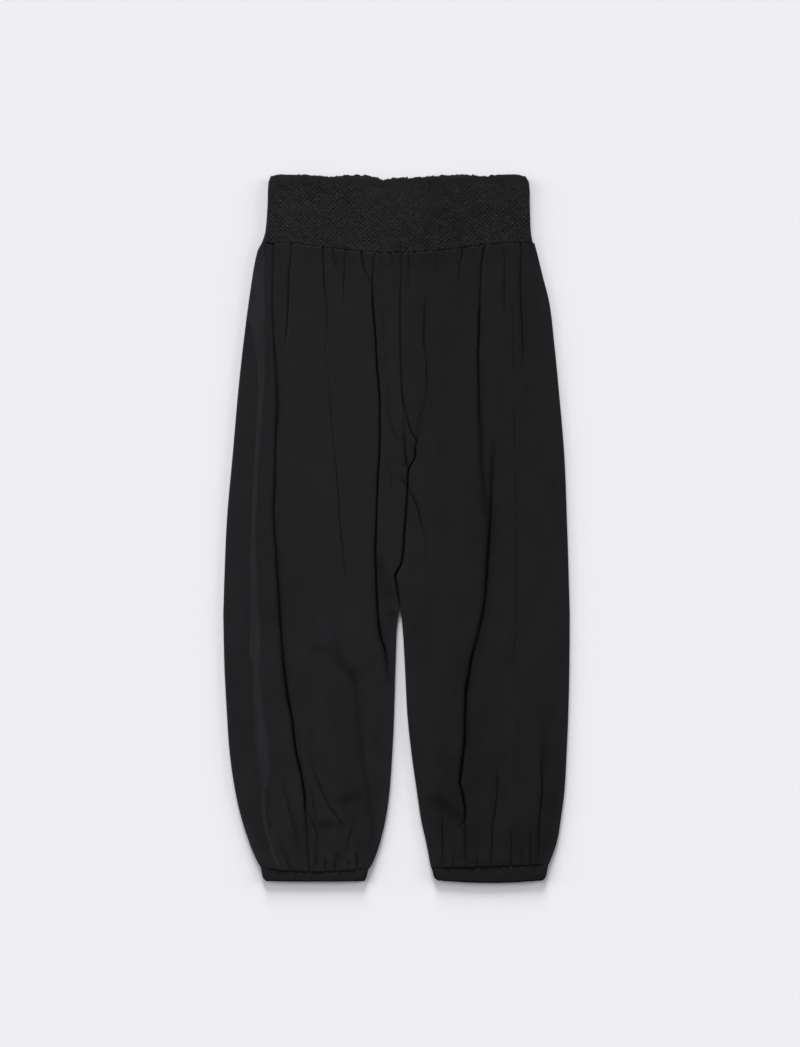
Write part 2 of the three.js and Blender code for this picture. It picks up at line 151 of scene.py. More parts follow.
# the long folds, then the short ones at the waist, the crotch and the cuff
rightFolds = [
    fold([(378, -165), (301, -167), (258, -165.5), (173, -161), (109, -162.8), (44, -164), (23, -165.5),
          (-42, -161.5), (-84, -159), (-149, -154.8), (-192, -150.8), (-234, -145.4), (-256, -141),
          (-299, -136), (-320, -131), (-350, -125.3), (-378, -123), (-448, -117.3)],
         [(378, 0.9), (350, 1.1), (300, 1.3), (240, 1.8), (190, 1.3), (140, 1.8), (0, 1.8), (-150, 2.1),
          (-200, 2.8), (-250, 4.1), (-366, 4.1), (-378, 1.7), (-388, 1.3), (-420, 1.1),
          (-448, 0.6)], 2.3, 0.6, 1,
         [(378, 0.14, 0.12), (300, 0.14, 0.1), (240, 0.1, 0.24), (190, 0.3, 0.76), (140, 0.4, 0.7),
          (100, 0.36, 0.35), (50, 0.46, 0.38), (0, 0.34, 0.52), (-50, 0.48, 0.6), (-100, 0.6, 0.6),
          (-150, 0.62, 0.56), (-200, 0.66, 0.4), (-250, 0.6, 0.2), (-300, 0.42, 0.25), (-350, 0.2, 0.4),
          (-380, 0.2, 0.2)]),
    fold([(378, -30), (358, -31.5), (312, -33), (253, -28.8), (216, -27), (173, -23.5), (109, -23.5),
          (66, -26), (23, -27.5), (-31, -29), (-95, -27), (-127, -24.8), (-149, -21), (-165, -15.8),
          (-202, -11.4), (-220, -7.4)],
         [(378, 1.3), (350, 1.2), (300, 2.4), (240, 3.1), (150, 3.8), (-142, 4), (-156, 2.8), (-166, 2.2),
          (-176, 1.4), (-190, 0.8), (-206, 0.5), (-218, 0)], 2, 0.6, 1,
         [(300, 0.05, 0.04), (100, 0.14, 0.04), (0, 0.24, 0.12), (-50, 0.5, 0.3), (-90, 0.6, 0.24),
          (-120, 0.8, 0.16), (-160, 0.7, 0.2), (-200, 0.3, 0.2), (-218, 0, 0)]),
    fold([(376, -141.6), (356, -142.6), (340, -144.6), (308, -145.5), (276, -147), (258, -148.6),
          (246, -150.2), (232, -153)],
         [(376, 1.3), (340, 1.3), (300, 1.5), (262, 1.4), (246, 0.8), (230, 0)], 1.6, 0.4),
    fold([(376, -100), (340, -98), (324, -97.5), (308, -95.8), (290, -93.6), (240, -94.8), (228, -95),
          (196, -91.3), (147, -88), (115, -85.2), (83, -82), (51, -78.8), (3, -76), (-29, -72.6),
          (-62, -69.2), (-92, -66)],
         [(376, 1.6), (325, 1.4), (293, 0.9), (240, 0.7), (112, 1), (52, 1.2), (-15, 1.2), (-60, 1),
          (-84, 0.3), (-94, 0)], 1.4, 0.25),
    fold([(376, -87), (354, -83), (338, -77)], [(376, 1.2), (354, 0.9), (334, 0)], 1.8, 0.3, -1),
    fold([(376, -68), (334, -71), (299, -71)], [(376, 0.9), (334, 1), (304, 1), (290, 0)], 1.6, 0.4),
    fold([(376, -48), (340, -41.4), (330, -36)], [(376, 1.5), (340, 1.1), (326, 0)], 2, 0.4, -1),
    fold([(376, -7.4), (345, -7)], [(376, 1.1), (340, 0)], 1.8, 0.2),
    fold([(306, -20.8), (260, -17.6), (215, -14.6), (186, -13.4), (160, -12.1), (142, -9.5), (129, -5.7),
          (114, 0.8)],
         [(308, 0), (290, 0.35), (225, 0.4), (186, 0.7), (150, 1), (125, 1.1), (112, 0)], 1.4, 0.2),
    fold([(90, -12.4), (83, -12), (72.6, -8.5), (44, -7)], [(90, 0), (80, 1.1), (58, 1), (42, 0)], 1.4, 0.2),
    fold([(196, 5.8), (180, 7.4), (161, 8), (129, 10), (113, 11), (96, 11.8), (82, 14)],
         [(196, 0), (180, 1.2), (150, 0.7), (125, 1.2), (108, 2), (88, 2.8), (78, 0.5)], 1.3, 0.3, -1),
    fold([(68, 5.4), (60, 9.2), (51, 14.6)], [(72, 0), (65, 1.8), (51, 1.9)], 1.5, 0.2),
    fold([(-332, -152), (-351, -150), (-367, -146.8), (-383, -143), (-399, -138.4), (-415, -134.4),
          (-440, -129)],
         [(-328, 0), (-345, 1.1), (-376, 1.6), (-400, 1.2), (-420, 0.8), (-436, 0.2)], 1.7),
    fold([(-376, -123), (-397, -112.4), (-410, -107.4), (-427, -108.4), (-444, -111)],
         [(-374, 0.6), (-397, 0.9), (-411, 1), (-430, 0.7), (-448, 0.4)], 1.6),
    fold([(-300, -115.6), (-326, -110.8), (-342, -105.8), (-358, -98.6), (-374, -90.2), (-390, -79.2),
          (-403, -67)],
         [(-300, 0), (-322, 0.7), (-345, 1.1), (-380, 1), (-396, 0.7), (-406, 0)], 2.5, 0.4),
    fold([(-352, -114.5), (-363, -112.8), (-390, -109.3)], [(-348, 0), (-372, 1.1), (-394, 0.3)], 1.6, 0.2),
    fold([(-378, -53.8), (-398, -59.2), (-414, -63.2), (-432, -68.6)],
         [(-374, 0), (-398, 0.5), (-414, 0.8), (-430, 0.5), (-440, 0)], 2.2, 0.3, -1),
    fold([(-200, -56), (-256, -53), (-323, -43.6), (-376, -37.4), (-417, -32.8), (-448, -35)],
         [(-196, 0.3), (-225, 0.7), (-256, 0.6), (-300, 1.1), (-345, 1.2), (-400, 0.9),
          (-440, 0.2)], 6.4, 0.4, -1),
    fold([(-386, -172.6), (-408, -169)], [(-384, 0), (-396, 1), (-410, 0)], 2.2, 0.2),
    fold([(-416, -160), (-446, -143)], [(-412, 0), (-430, 1), (-449, 1)], 2.2),
    fold([(-432, -84), (-449, -82)], [(-428, 0), (-440, 1), (-449, 1)], 2),
    fold([(-428, -55), (-449, -53)], [(-424, 0), (-438, 1.2), (-449, 1)], 1.8, 0.3, -1),
    fold([(-434, -96), (-449, -95)], [(-430, 0), (-442, 0.8), (-449, 0.8)], 1.7, 0.2),
]
rightLeg = {
    "name": "right",
    "side": -1,
    "flatBack": 0.245,  # metres
    "edge": [(376, 180.8), (366, 186.3), (342, 192.3), (304, 198.4), (250, 205.3), (190, 211.9), (100, 219.8),
             (10, 227.7), (-106, 232.2), (-127, 232.2), (-184, 230.9), (-250, 227.4), (-300, 223.8),
             (-350, 216.6), (-390, 207.4), (-420, 197.2), (-440, 186.4), (-449, 180.6)],
    "inner": [(-106, -4.5), (-127, -0.9), (-184, 1.3), (-250, 3.2), (-300, 5.6), (-350, 9.2), (-390, 14.8),
              (-420, 22.4), (-440, 31.2), (-449, 36.5)],
    "seam": [(376, 176), (304, 180), (190, 181.5), (60, 188), (-75, 190.5), (-200, 188.5), (-325, 177.5),
             (-448, 160)],
    # (y, middle, half width)
    "ridge": [(376, 178, 2.5), (360, 182.5, 5.5), (340, 183.8, 7), (320, 186, 9.5), (300, 187, 11),
              (280, 188, 11.5), (257, 184, 7.8), (226, 181.5, 5), (200, 181, 4.3), (173, 181.5, 3.4),
              (132, 184, 3.2), (79, 188, 2.6), (12, 190.5, 2.8), (-41, 191.6, 3.6), (-88, 191.4, 4.2),
              (-109, 191.1, 4.9), (-128, 189.2, 6.7), (-168, 189.1, 6.8), (-182, 187.6, 4.8),
              (-209, 186.9, 3.5), (-222, 185.7, 4.7), (-230, 185.6, 6), (-246, 185.2, 5), (-267, 182.1, 6.4),
              (-290, 180, 7.4), (-316, 178.2, 7.6), (-336, 176.4, 7), (-346, 177.5, 4.5), (-352, 178.6, 2.6),
              (-379, 178, 3), (-390, 176.7, 2.7), (-410, 173.7, 2.2), (-423, 168.6, 2.1), (-437, 161.8, 2),
              (-448, 158, 1.8)],
    # (y, painted light, run in from the edge)
    "rim": [(376, 0, 3), (340, 0.04, 4), (300, 0.06, 6), (265, 0.12, 14), (200, 0.15, 12), (173, 0.17, 6),
            (100, 0.14, 10), (39, 0.14, 11), (-95, 0.12, 6), (-229, 0.16, 6), (-340, 0.1, 8), (-376, 0.06, 4),
            (-388, 0.26, 7), (-403, 0.4, 8.5), (-417, 0.46, 9), (-428, 0.26, 9), (-441, 0.14, 7),
            (-449, 0.08, 4)],
    # lines that the mesh's columns follow, each with the columns up to it
    "guides": [
        (28, [(376, 30), (304, 32.5), (253, 28.8), (173, 23.5), (109, 23.5), (66, 26), (-31, 29), (-95, 27),
              (-127, 24.8), (-149, 21), (-202, 13), (-325, 17), (-448, 43)]),
        (30, [(376, 68), (304, 70), (190, 60), (60, 52), (-75, 46), (-200, 34), (-325, 35), (-448, 58)]),
        (28, [(376, 100), (320, 97), (240, 94.5), (186, 90.5), (112, 83.8), (52, 78.4), (-15, 74.4),
              (-82, 69), (-200, 60), (-325, 62), (-448, 82)]),
        (34, [(376, 142), (320, 145.4), (260, 148), (190, 142), (60, 140), (-75, 134), (-200, 125),
              (-325, 110), (-448, 106)]),
        (22, [(y, -x) for y, x in rightFolds[0]["line"]]),
    ],
    "lastColumns": 24,
    "folds": rightFolds,
    # (x, y, run across, run down, turn, depth, painted shade)
    "dents": [(-68.5, -186, 22, 7, -53, 0.2, 0.42), (-98.5, -163, 18, 5, -3, 0.1, 0.28),
              (-57, -200, 10, 12, 0, 0.1, 0.14), (-65, -363, 20, 7.5, 15, 0.25, 0.38),
              (-53, -358, 7, 9, 0, 0.1, 0.1), (-92, -396.5, 18, 6.5, 3, 0.3, 0.48),
              (-17, -395, 7, 22, 0, 0.4, 0), (-178, -250, 10, 60, 0, 0.3, 0),
              (-107, -436, 3, 5, 0, 0.4, 0.38), (-95, -438, 4, 2.6, 30, 0.3, 0.3),
              (-84, -441, 4, 2.6, -25, 0.3, 0.38), (-79, -432, 5, 3.4, 10, 0.4, 0.32),
              (-64, -440, 3.6, 2.6, 20, 0.3, 0.34), (-52, -436, 2.6, 4, 0, 0.4, 0.34)],
    # (x, y, run across, run down, painted shade, which paints light where negative)
    "paintedShadePatches": [(-90, -300, 30, 60, 0.06), (-20, -50, 6, 15, 0.42), (-13, -82, 9, 19, 0.48),
              (-8, -113, 6, 4.5, 0.42), (-51, -240, 9, 40, 0.14), (-20, -140, 14, 16, 0.1),
              (-120, 120, 90, 210, -0.115), (-190, 90, 14, 160, -0.05), (-56, -385, 16, 34, 0.08),
              (-140, -350, 14, 20, 0.06), (-169.5, -393, 2.4, 10, -0.24), (-191, 190, 12, 80, -0.1),
              (-90, -432, 60, 45, 0.11), (-196, 235, 12, 45, -0.14), (-1, 330, 4, 12, 0.18),
              (-150, 330, 9, 40, 0.08), (-174, -395, 5, 18, 0.16)],
    "cuff": {"inner": 37, "edge": 182, "innerY": -454.5, "edgeY": -454.5, "sag": 4.5,
             "hemInner": 41.5, "hemEdge": 178.5, "hemY": -472, "belly": 0.6, "cornerIn": 1.6,
             "cornerEdge": 4.6, "gather": 0.12},
}

# the same for the left leg
leftFolds = [
    fold([(377, 118), (358, 114.6), (344, 113), (320, 111.7), (277, 110), (258, 109.2), (194, 109.2),
          (165, 110), (133, 111.1), (109, 111.8), (79, 113.2), (52, 116), (32, 117), (-1, 121)],
         [(377, 1), (366, 1.6), (300, 1.9), (261, 2.6), (229, 2.1), (180, 2.1), (140, 1.2), (100, 0.7),
          (50, 0.6), (20, 0.4), (-4, 0)], 2.2, 0.5, 1,
         [(377, 0.12, 0.1), (300, 0.16, 0.12), (240, 0.4, 0.4), (180, 0.3, 0.42), (140, 0.46, 0.64),
          (100, 0.34, 0.56), (60, 0.38, 0.44), (20, 0.2, 0.2), (-4, 0, 0)]),
    fold([(122, 129.3), (87, 127.8), (52, 126.6), (-1, 124.5), (-41, 121.6), (-82, 118.9), (-108, 116),
          (-149, 107), (-169, 101.2), (-192, 97.2), (-209, 94), (-234, 91.8), (-277, 90.7), (-291, 89.8),
          (-320, 86.6), (-336, 84.6), (-343, 84), (-350, 86), (-361, 88.4), (-376, 91), (-393, 91),
          (-437, 92.5), (-448, 93)],
         [(124, 0), (90, 0.8), (50, 1), (0, 1.5), (-50, 1.6), (-100, 1.8), (-150, 1.6), (-200, 2.2),
          (-240, 3.1), (-300, 3), (-340, 3.8), (-374, 3.8), (-386, 1.8), (-398, 0.7), (-437, 0.8),
          (-448, 0.5)], 2.2, 0.6, 1,
         [(124, 0, 0), (108, 0.14, 0.2), (88, 0.4, 0.5), (50, 0.62, 0.5), (0, 0.7, 0.54), (-50, 0.7, 0.64),
          (-100, 0.68, 0.6), (-150, 0.72, 0.6), (-200, 0.76, 0.44), (-250, 0.7, 0.5), (-300, 0.64, 0.3),
          (-350, 0.34, 0.1), (-380, 0.2, 0.1)]),
    fold([(312, 37.4), (253, 36.1), (226, 39), (180, 39.6), (165, 36.6), (153, 31.5), (126, 26.8)],
         [(320, 0), (292, 1.1), (262, 1.7), (244, 1.5), (230, 0.6), (212, 1.4), (196, 1), (180, 0.9),
          (160, 0.5), (140, 0.4), (122, 0)], 1.5, 0.3, -1),
    fold([(160, 34), (126, 29)], [(166, 0), (146, 0.7), (118, 0)], 5, 0),
    fold([(376, 15.5), (313, 15.5)], [(376, 1.1), (340, 0.9), (308, 0)], 1.7),
    fold([(376, 50), (350, 53), (311, 53.6)], [(376, 0.8), (345, 0.4), (306, 0)], 1.8),
    fold([(378, 85), (367, 87.6), (354, 84), (317, 83.8)], [(376, 1.2), (354, 1.2), (310, 0)], 1.7),
    fold([(381, 144), (293, 143.6)], [(381, 0.5), (360, 0.6), (330, 1.1), (297, 1.1), (280, 0)], 1.6, 0.4),
    fold([(384, 166.4), (340, 165.6), (310, 166), (284, 167), (252, 168), (222, 169.2)],
         [(384, 0.8), (364, 0.8), (348, 1.6), (332, 1.8), (250, 1.8), (236, 1.1), (220, 0.4),
          (208, 0)], 1.7, 0.4),
    fold([(66, 12), (52, 16.3), (28, 27), (5, 32.4), (-15, 38.2), (-32, 38.4), (-50, 38)],
         [(66, 1.9), (52, 1.9), (28, 1.5), (5, 1.1), (-20, 0.8), (-36, 0.5), (-54, 0)], 1.5, 0.4, -1),
    fold([(128, 29), (112, 27.5), (96, 26)], [(134, 0), (120, 1.2), (92, 0)], 1.4, 0.3, -1),
    fold([(-320, 133.8), (-345, 134.8), (-360, 134.3), (-371, 133.2), (-387, 130.4), (-403, 128.4),
          (-448, 125.6)],
         [(-316, 0), (-335, 1.2), (-355, 1.7), (-371, 1), (-387, 1.4), (-403, 1), (-436, 1.1),
          (-448, 0.7)], 1.7, 0.4),
    fold([(-306, 194), (-350, 194.6), (-362, 194.3), (-378, 192.8), (-394, 191.3), (-437, 189.4)],
         [(-302, 0), (-322, 1.5), (-362, 2), (-394, 1.4), (-420, 1), (-442, 0.4)], 1.7, 0.4, -1),
    fold([(-388, 60.8), (-437, 61.5)], [(-384, 0), (-402, 1.3), (-430, 1.2), (-444, 0.4)], 1.5),
    fold([(-400, 153), (-446, 153)], [(-396, 0), (-415, 1.2), (-449, 1.1)], 1.6, 0.3, -1),
    fold([(-402, 178.5), (-446, 178.8)], [(-398, 0), (-415, 1.1), (-449, 0.9)], 1.6),
    fold([(-391, 91), (-404, 80)], [(-389, 0), (-396, 0.9), (-407, 0)], 1.7, 0.2),
    fold([(-432, 107), (-449, 107)], [(-430, 0), (-440, 1), (-449, 1)], 2),
    fold([(-426, 168), (-449, 167)], [(-424, 0), (-436, 0.9), (-449, 0.8)], 1.8, 0.2),
    fold([(-434, 76), (-449, 75)], [(-430, 0), (-441, 0.8), (-449, 0.8)], 1.7, 0.2),
]
leftLeg = {
    "name": "left",
    "side": 1,
    "flatBack": 0.265,
    "edge": [(376, 184.9), (342, 194.8), (304, 205), (250, 211.5), (190, 217.4), (100, 225), (10, 228.7),
             (-106, 232.2), (-127, 232.3), (-184, 231.9), (-250, 230.4), (-300, 228.2), (-350, 225.4),
             (-390, 220.2), (-420, 215), (-449, 204.1)],
    "inner": [(-106, 4.5), (-127, 7.7), (-184, 11.2), (-250, 14.6), (-300, 20), (-350, 27), (-390, 33),
              (-420, 40), (-449, 46.8)],
    "seam": [(376, 157.5), (304, 156), (190, 157), (60, 159), (-75, 160), (-200, 157), (-325, 152.5),
             (-448, 150)],
    "ridge": None,
    "rim": None,
    "guides": [
        (26, [(376, 35), (304, 36.9), (253, 36.2), (226, 39.5), (180, 40.5), (153, 33), (100, 36), (60, 33),
              (5, 33), (-75, 33), (-200, 35), (-325, 41), (-448, 57)]),
        (18, [(376, 53), (304, 54), (190, 60), (60, 58), (-75, 58), (-200, 54), (-325, 57), (-448, 70)]),
        (26, [(376, 88), (354, 83.8), (190, 86), (60, 88), (-75, 84), (-200, 72), (-325, 68), (-448, 78)]),
        (26, [(377, 119), (358, 115), (344, 113), (320, 111.9), (280, 110.6), (222, 109.2), (194, 109),
              (109, 111), (79, 113.2), (32, 115.5), (-75, 104), (-200, 84), (-325, 77), (-448, 85)]),
        (24, [(376, 131), (304, 129), (190, 128), (117, 129.3), (52, 127.4), (-1, 125.3), (-41, 121.3),
              (-82, 119.4), (-108, 115.9), (-149, 107.9), (-169, 101.2), (-192, 97.2), (-209, 94),
              (-234, 91.8), (-277, 90.5), (-289, 89.1), (-340, 84.4), (-376, 90.5), (-393, 91), (-437, 92.5),
              (-448, 93)]),
        (22, [(380, 144.9), (293, 144), (190, 143), (60, 144), (-75, 141), (-200, 133), (-330, 132.4),
              (-350, 133.3), (-390, 130.1), (-423, 126.6), (-448, 126)]),
    ],
    "lastColumns": 18,
    "folds": leftFolds,
    "dents": [(62, -369, 23, 10, -23, 0.35, 0.4), (80, -384, 10, 5, -25, 0.3, 0.26),
              (48, -360, 12, 5, 10, 0.2, 0.14), (34, 140, 6, 16, 12, 0.5, 0.06),
              (205, -300, 9, 40, 0, 0.4, 0), (178, -300, 8, 50, 0, 0.3, 0),
              (64, -440, 3.4, 2.6, 10, 0.3, 0.34), (84, -436, 6, 3, -10, 0.3, 0.22),
              (101, -441, 4.6, 2.6, 15, 0.3, 0.28), (165, -434, 5, 4, 0, 0.3, 0.2),
              (118, -443, 4, 2.4, -20, 0.3, 0.22)],
    "paintedShadePatches": [(184, 300, 20, 100, 0.13), (66, -400, 14, 40, 0.08), (90, -300, 34, 100, 0.12),
              (197, -304, 7, 24, 0.34), (42, 185, 5, 24, 0.12), (165, -275, 16, 50, 0.05),
              (139, -60, 10, 60, 0.05), (104, -295, 12, 30, 0.05), (30, -136, 17, 24, 0.15),
              (194, -245, 13, 60, 0.12), (118, -60, 9, 90, 0.13), (97, -210, 10, 60, 0.13),
              (160, 0, 45, 150, 0.05), (184, -405, 22, 40, 0.19), (120, -390, 90, 110, 0.1),
              (212, -375, 26, 80, 0.15), (90, -450, 50, 22, 0.18), (170, -445, 34, 20, 0.08),
              (139, -285, 26, 70, 0.06), (14, 60, 9, 60, -0.06), (30, -70, 20, 30, 0.07)],
    "cuff": {"inner": 47, "edge": 204, "innerY": -454.3, "edgeY": -449, "sag": 0,
             "hemInner": 51.5, "hemEdge": 199.5, "hemY": -471.2, "belly": 3.2, "cornerIn": 4,
             "cornerEdge": 3.4, "gather": 0.25},
}


def waistLine(x):
    # the front's waist seam sags to the middle and is a little uneven from gather to gather
    sag = garment["waistSag"] * math.cos(math.pi * x / garment["waistWidth"]) ** 2
    slow, quick = garment["waistUneven"]
    uneven = slow * ripple(x / 9, 2.5) + quick * ripple(x / 4, 7.5)
    return garment["waistY"] - sag + uneven * smooth((garment["waistHalf"] - abs(x)) / 12)


def edgeHeight(y):
    nearWaist = smooth(1 - (garment["waistY"] - y) / garment["waistRun"])
    nearCuff = smooth(1 - (y - garment["cuffSeamY"]) / garment["cuffRun"])
    return garment["edgeHeight"] + garment["waistLift"] * nearWaist + garment["cuffLift"] * nearCuff


def innerLimit(leg, y):
    if y <= garment["crotchY"]:
        return curved(leg["inner"], y)
    return leg["side"] * curved(riseSeam, y)


def foldsAt(folds, y):
    # the folds that cross a row: place, depth, half width, lip, side that lies over, soft painted shade on
    # both sides
    pastEnd = 12
    found = []
    for each in folds:
        depth = straight(each["deep"], y)
        if each["line"][0][0] + pastEnd < y or y < each["line"][-1][0] - pastEnd or depth < 0.02:
            continue
        plain = 0.05 * depth
        rows = each["apron"] or [(0, plain, plain)]
        apron = straight(rows, y), straight(rows, y, 2)
        own = each["line"][0][1] / 5
        place = curved(each["line"], y) + 0.6 * ripple(y / 19, own) + 0.4 * ripple(y / 6, own)
        # what lies over hides this much of the line
        place += 0.67 + 0.25 * each["over"] * depth
        depth *= 1 + 0.3 * ripple(y / 30, own, 4.5)
        found.append((place, depth, each["wide"], each["lip"], each["over"], apron))
    return found


def foldShape(x, crossing):
    # height, sideways shift and painted shade that the folds of a row give at x
    rise = shift = shade = 0.0
    for place, depth, wide, lip, over, apron in crossing:
        d = x - place
        if abs(d) > 12 + 3 * wide:
            continue
        e = d * over
        weight = min(1.0, depth / 1.2)
        # a slot with sunken shoulders, and a lip on each side that is higher where the cloth lies over
        rise -= depth * bell(d, wide) + 0.16 * depth * math.exp(-abs(d) / 6)
        rise += lip * weight * (bell(e - 2.3 * wide, 1.7 * wide) + 0.35 * bell(e + 2.8 * wide, 2 * wide))
        if wide < 3:
            # a narrow slot: the lip leans over it; painted shade darkens its middle, with soft painted shade
            # beside
            shift -= over * 0.3 * depth * bell(e - 1.1 * wide, 0.8 * wide)
            soft = apron[0 if d < 0 else 1] * bell(d, 4.6)
            dark = min(1.0, depth / 3.1) ** 1.2 * bell(d, 0.9 * wide)
        else:
            # a wide fold: only soft painted shade
            soft, dark = 0.3 * min(1.0, depth) * bell(d, 0.8 * wide), 0.0
        shade = 1 - (1 - shade) * (1 - dark) * (1 - soft)
    return rise, shift, shade


def mottleAndPaintedShade(x, y, paintedShadePatches):
    # random mottling, plus the listed patches of painted shade, which paint light where negative
    soft = 0.14 * ripple(x / 20, y / 40, 41.5) + 0.09 * ripple(x / 7, y / 15, 43.5)
    strong = sum(shade * bell(x - atX, runX) * bell(y - atY, runY) for atX, atY, runX, runY, shade in paintedShadePatches)
    return soft + strong


def ridgeShape(leg, out, y):
    # the turned side seam of the right leg stands up as a flat band, with a painted highlight along it
    if leg["ridge"] is None:
        return 0.0, 0.0
    middle, half = straight(leg["ridge"], y), straight(leg["ridge"], y, 2)
    middle += 0.5 * ripple(y / 24, 5.5)
    half *= 1 + 0.22 * ripple(y / 15, 8.5)
    raised = smooth((half + 1.2 - abs(out - middle)) / 2.4)
    uneven = (1 + 0.7 * ripple(out / 8, y / 34, 17.5)) * (1 - 0.5 * smooth((y - garment["ridgeDull"]) / 12))
    return garment["ridgeHeight"] * raised, -garment["ridgePaintedLight"] * raised * uneven


def rimPaintedLight(leg, y, fromEdge):
    # painted highlight: the rolled outer edge of the right leg is painted a little lighter
    if leg["rim"] is None:
        return 0.0
    return straight(leg["rim"], y) * bell(fromEdge, straight(leg["rim"], y, 2))


def dentShape(x, y, dents):
    # each dent sinks the cloth and carries painted shade
    rise = shade = 0.0
    for atX, atY, runX, runY, turn, depth, dark in dents:
        c, n = math.cos(math.radians(turn)), math.sin(math.radians(turn))
        dx, dy = x - atX, y - atY
        u, v = (c * dx + n * dy) / runX, (c * dy - n * dx) / runY
        if abs(u) < 2.5 and abs(v) < 2.5:
            near = math.exp(-u * u - v * v)
            rise -= depth * near
            shade += dark * near
    return rise, shade


def gatherWave(x, fromSeam, pitch, height, run):
    # small uneven gathers that run out from a seam
    if fromSeam > 3.5 * run:
        return 0.0
    wave = 0.35 * math.sin(2 * math.pi * (x / pitch + 2.2 * ripple(x / 23, 4.5)))
    wave += 1.9 * ripple(x / (0.6 * pitch), 9.5) + 0.8 * ripple(x / 3, 2.5)
    return height * math.exp(-fromSeam / run) * wave


def frontHeight(leg, row, out, y):
    # top surface of the laid trousers: height, sideways shift, shade
    x = leg["side"] * out
    rising = smooth((y - garment["crotchY"]) / 45)
    run = garment["crownRun"]
    crownIn = mix(out - row["inner"], run + 2, rising)
    crown = smooth((row["edge"] - out - 2) / run) * smooth((crownIn - 2) / run)
    z = row["edgeHeight"] + garment["crownRise"] * crown
    rise, shift, shade = foldShape(x, row["folds"])
    dent, dentPaintedShade = dentShape(x, y, leg["dents"])
    z += rise + dent
    away = smooth((row["edge"] - out) / 12)
    long, short = garment["longWave"], garment["shortWave"]
    z += away * (long * ripple(x / 34, y / 95, 1.5) + short * ripple(x / 13, y / 42, 3.5))
    z += gatherWave(x, max(0, garment["gatherTop"] - y), *gathers["frontWaist"]) * away
    z += gatherWave(x + 50, max(0, y - garment["cuffSeamY"]), *gathers["frontCuff"]) * away
    ridge, paintedLight = ridgeShape(leg, out, y)
    z += ridge
    # painted shade of the dents and patches, with random mottling, fading out at the outer edge
    shade += dentPaintedShade + mottleAndPaintedShade(x, y, leg["paintedShadePatches"]) * away
    if y > garment["crotchY"]:
        d, deep = out - row["inner"], row["riseDepth"]
        z -= deep * bell(d, garment["riseWide"]) + 0.15 * deep * math.exp(-abs(d) / garment["riseSoft"])
        # painted shade in the rise seam, darker where it is deeper
        shade = max(shade, min(1.0, deep / 2.9) ** 1.1 * bell(d, 2.1))
    # painted highlight along the rolled edge, at 0.4 of its strength where the ridge's painted highlight lies
    paintedLight -= rimPaintedLight(leg, y, row["edge"] - out) * (1 if paintedLight == 0 else 0.4)
    return max(z, garment["lowestFront"]), leg["side"] * shift, min(1.0, shade) + paintedLight


def legRow(leg, y):
    return {
        "edge": curved(leg["edge"], y),
        "seam": curved(leg["seam"], y),
        "inner": innerLimit(leg, y),
        "edgeHeight": edgeHeight(y),
        "riseDepth": straight(riseDepth, y),
        "folds": foldsAt(leg["folds"], y),
    }


def addObject(name, data):
    thing = bpy.data.objects.new(name, data)
    bpy.context.scene.collection.objects.link(thing)
    return thing


def meshObject(name, bm):
    mesh = bpy.data.meshes.new(name)
    bm.to_mesh(mesh)
    bm.free()
    return addObject(name, mesh)


def clothPiece(name, columns, rows, place, flip=False, joined=False):
    # place(i, j) gives x, y, z, painted shade (painted light where negative) and the spot on the cut cloth,
    # all in mm
    bm = bmesh.new()
    bmesh.ops.create_grid(bm, x_segments=columns, y_segments=rows, size=0.5)
    shadeLayer = bm.verts.layers.float.new("paintedShadeAndLight")
    cutLayer = bm.loops.layers.uv.new("cut")
    cut = {}
    for vert in bm.verts:
        i, j = round((vert.co.x + 0.5) * columns), round((vert.co.y + 0.5) * rows)
        x, y, z, shade, across, down = place(i, j)
        vert.co = (x * mm, y * mm, z * mm)
        vert[shadeLayer] = shade
        cut[vert] = (across * mm, down * mm)
    for face in bm.faces:
        face.smooth = True
        for loop in face.loops:
            loop[cutLayer].uv = cut[loop.vert]
    if joined:
        bmesh.ops.remove_doubles(bm, verts=bm.verts, dist=1e-6)
    if flip:
        bmesh.ops.reverse_faces(bm, faces=bm.faces)
    return meshObject(name, bm)


def giveThickness(piece, thickness):
    # the walls grow inwards from the shaped face
    solid = piece.modifiers.new("thickness", "SOLIDIFY")
    solid.thickness = thickness * mm
    solid.offset = -1
    solid.use_rim = True


def finishPiece(piece, node, material, thickness, flat):
    giveThickness(piece, thickness)
    piece.data.materials.append(material)
    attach(piece, "root")
    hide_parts(node)
    print(piece.name, "made")


def mathNode(tree, kind, a, b=None):
    node = tree.nodes.new("ShaderNodeMath")
    node.operation = kind
    for socket, value in zip(node.inputs, (a, b)):
        if value is None:
            continue
        if isinstance(value, (int, float)):
            socket.default_value = value
        else:
            tree.links.new(value, socket)
    return node.outputs[0]


def setInputs(inputs, values):
    for name, value in values.items():
        inputs[name].default_value = value


def noiseNode(tree, vector, scale, detail, rough=0.55):
    node = tree.nodes.new("ShaderNodeTexNoise")
    setInputs(node.inputs, {"Scale": scale, "Detail": detail, "Roughness": rough})
    tree.links.new(vector, node.inputs["Vector"])
    return node.outputs["Fac"]


knitValues = {
    "course": 1.3,
    "waleRelief": 0.55,
    "stitchRelief": 0.3,
    "fuzzScale": 900,
    "fuzzRelief": 0.9,
    "mottleScale": 45,
    "cloudScale": 9,
    "knitTone": 0.18,
    "paintedShadeStrength": 0.97,
    "rough": 0.78,
    "paintedSideShade": {"From Min": -0.03, "From Max": 0.07, "To Min": 1.0, "To Max": 0.87},
}


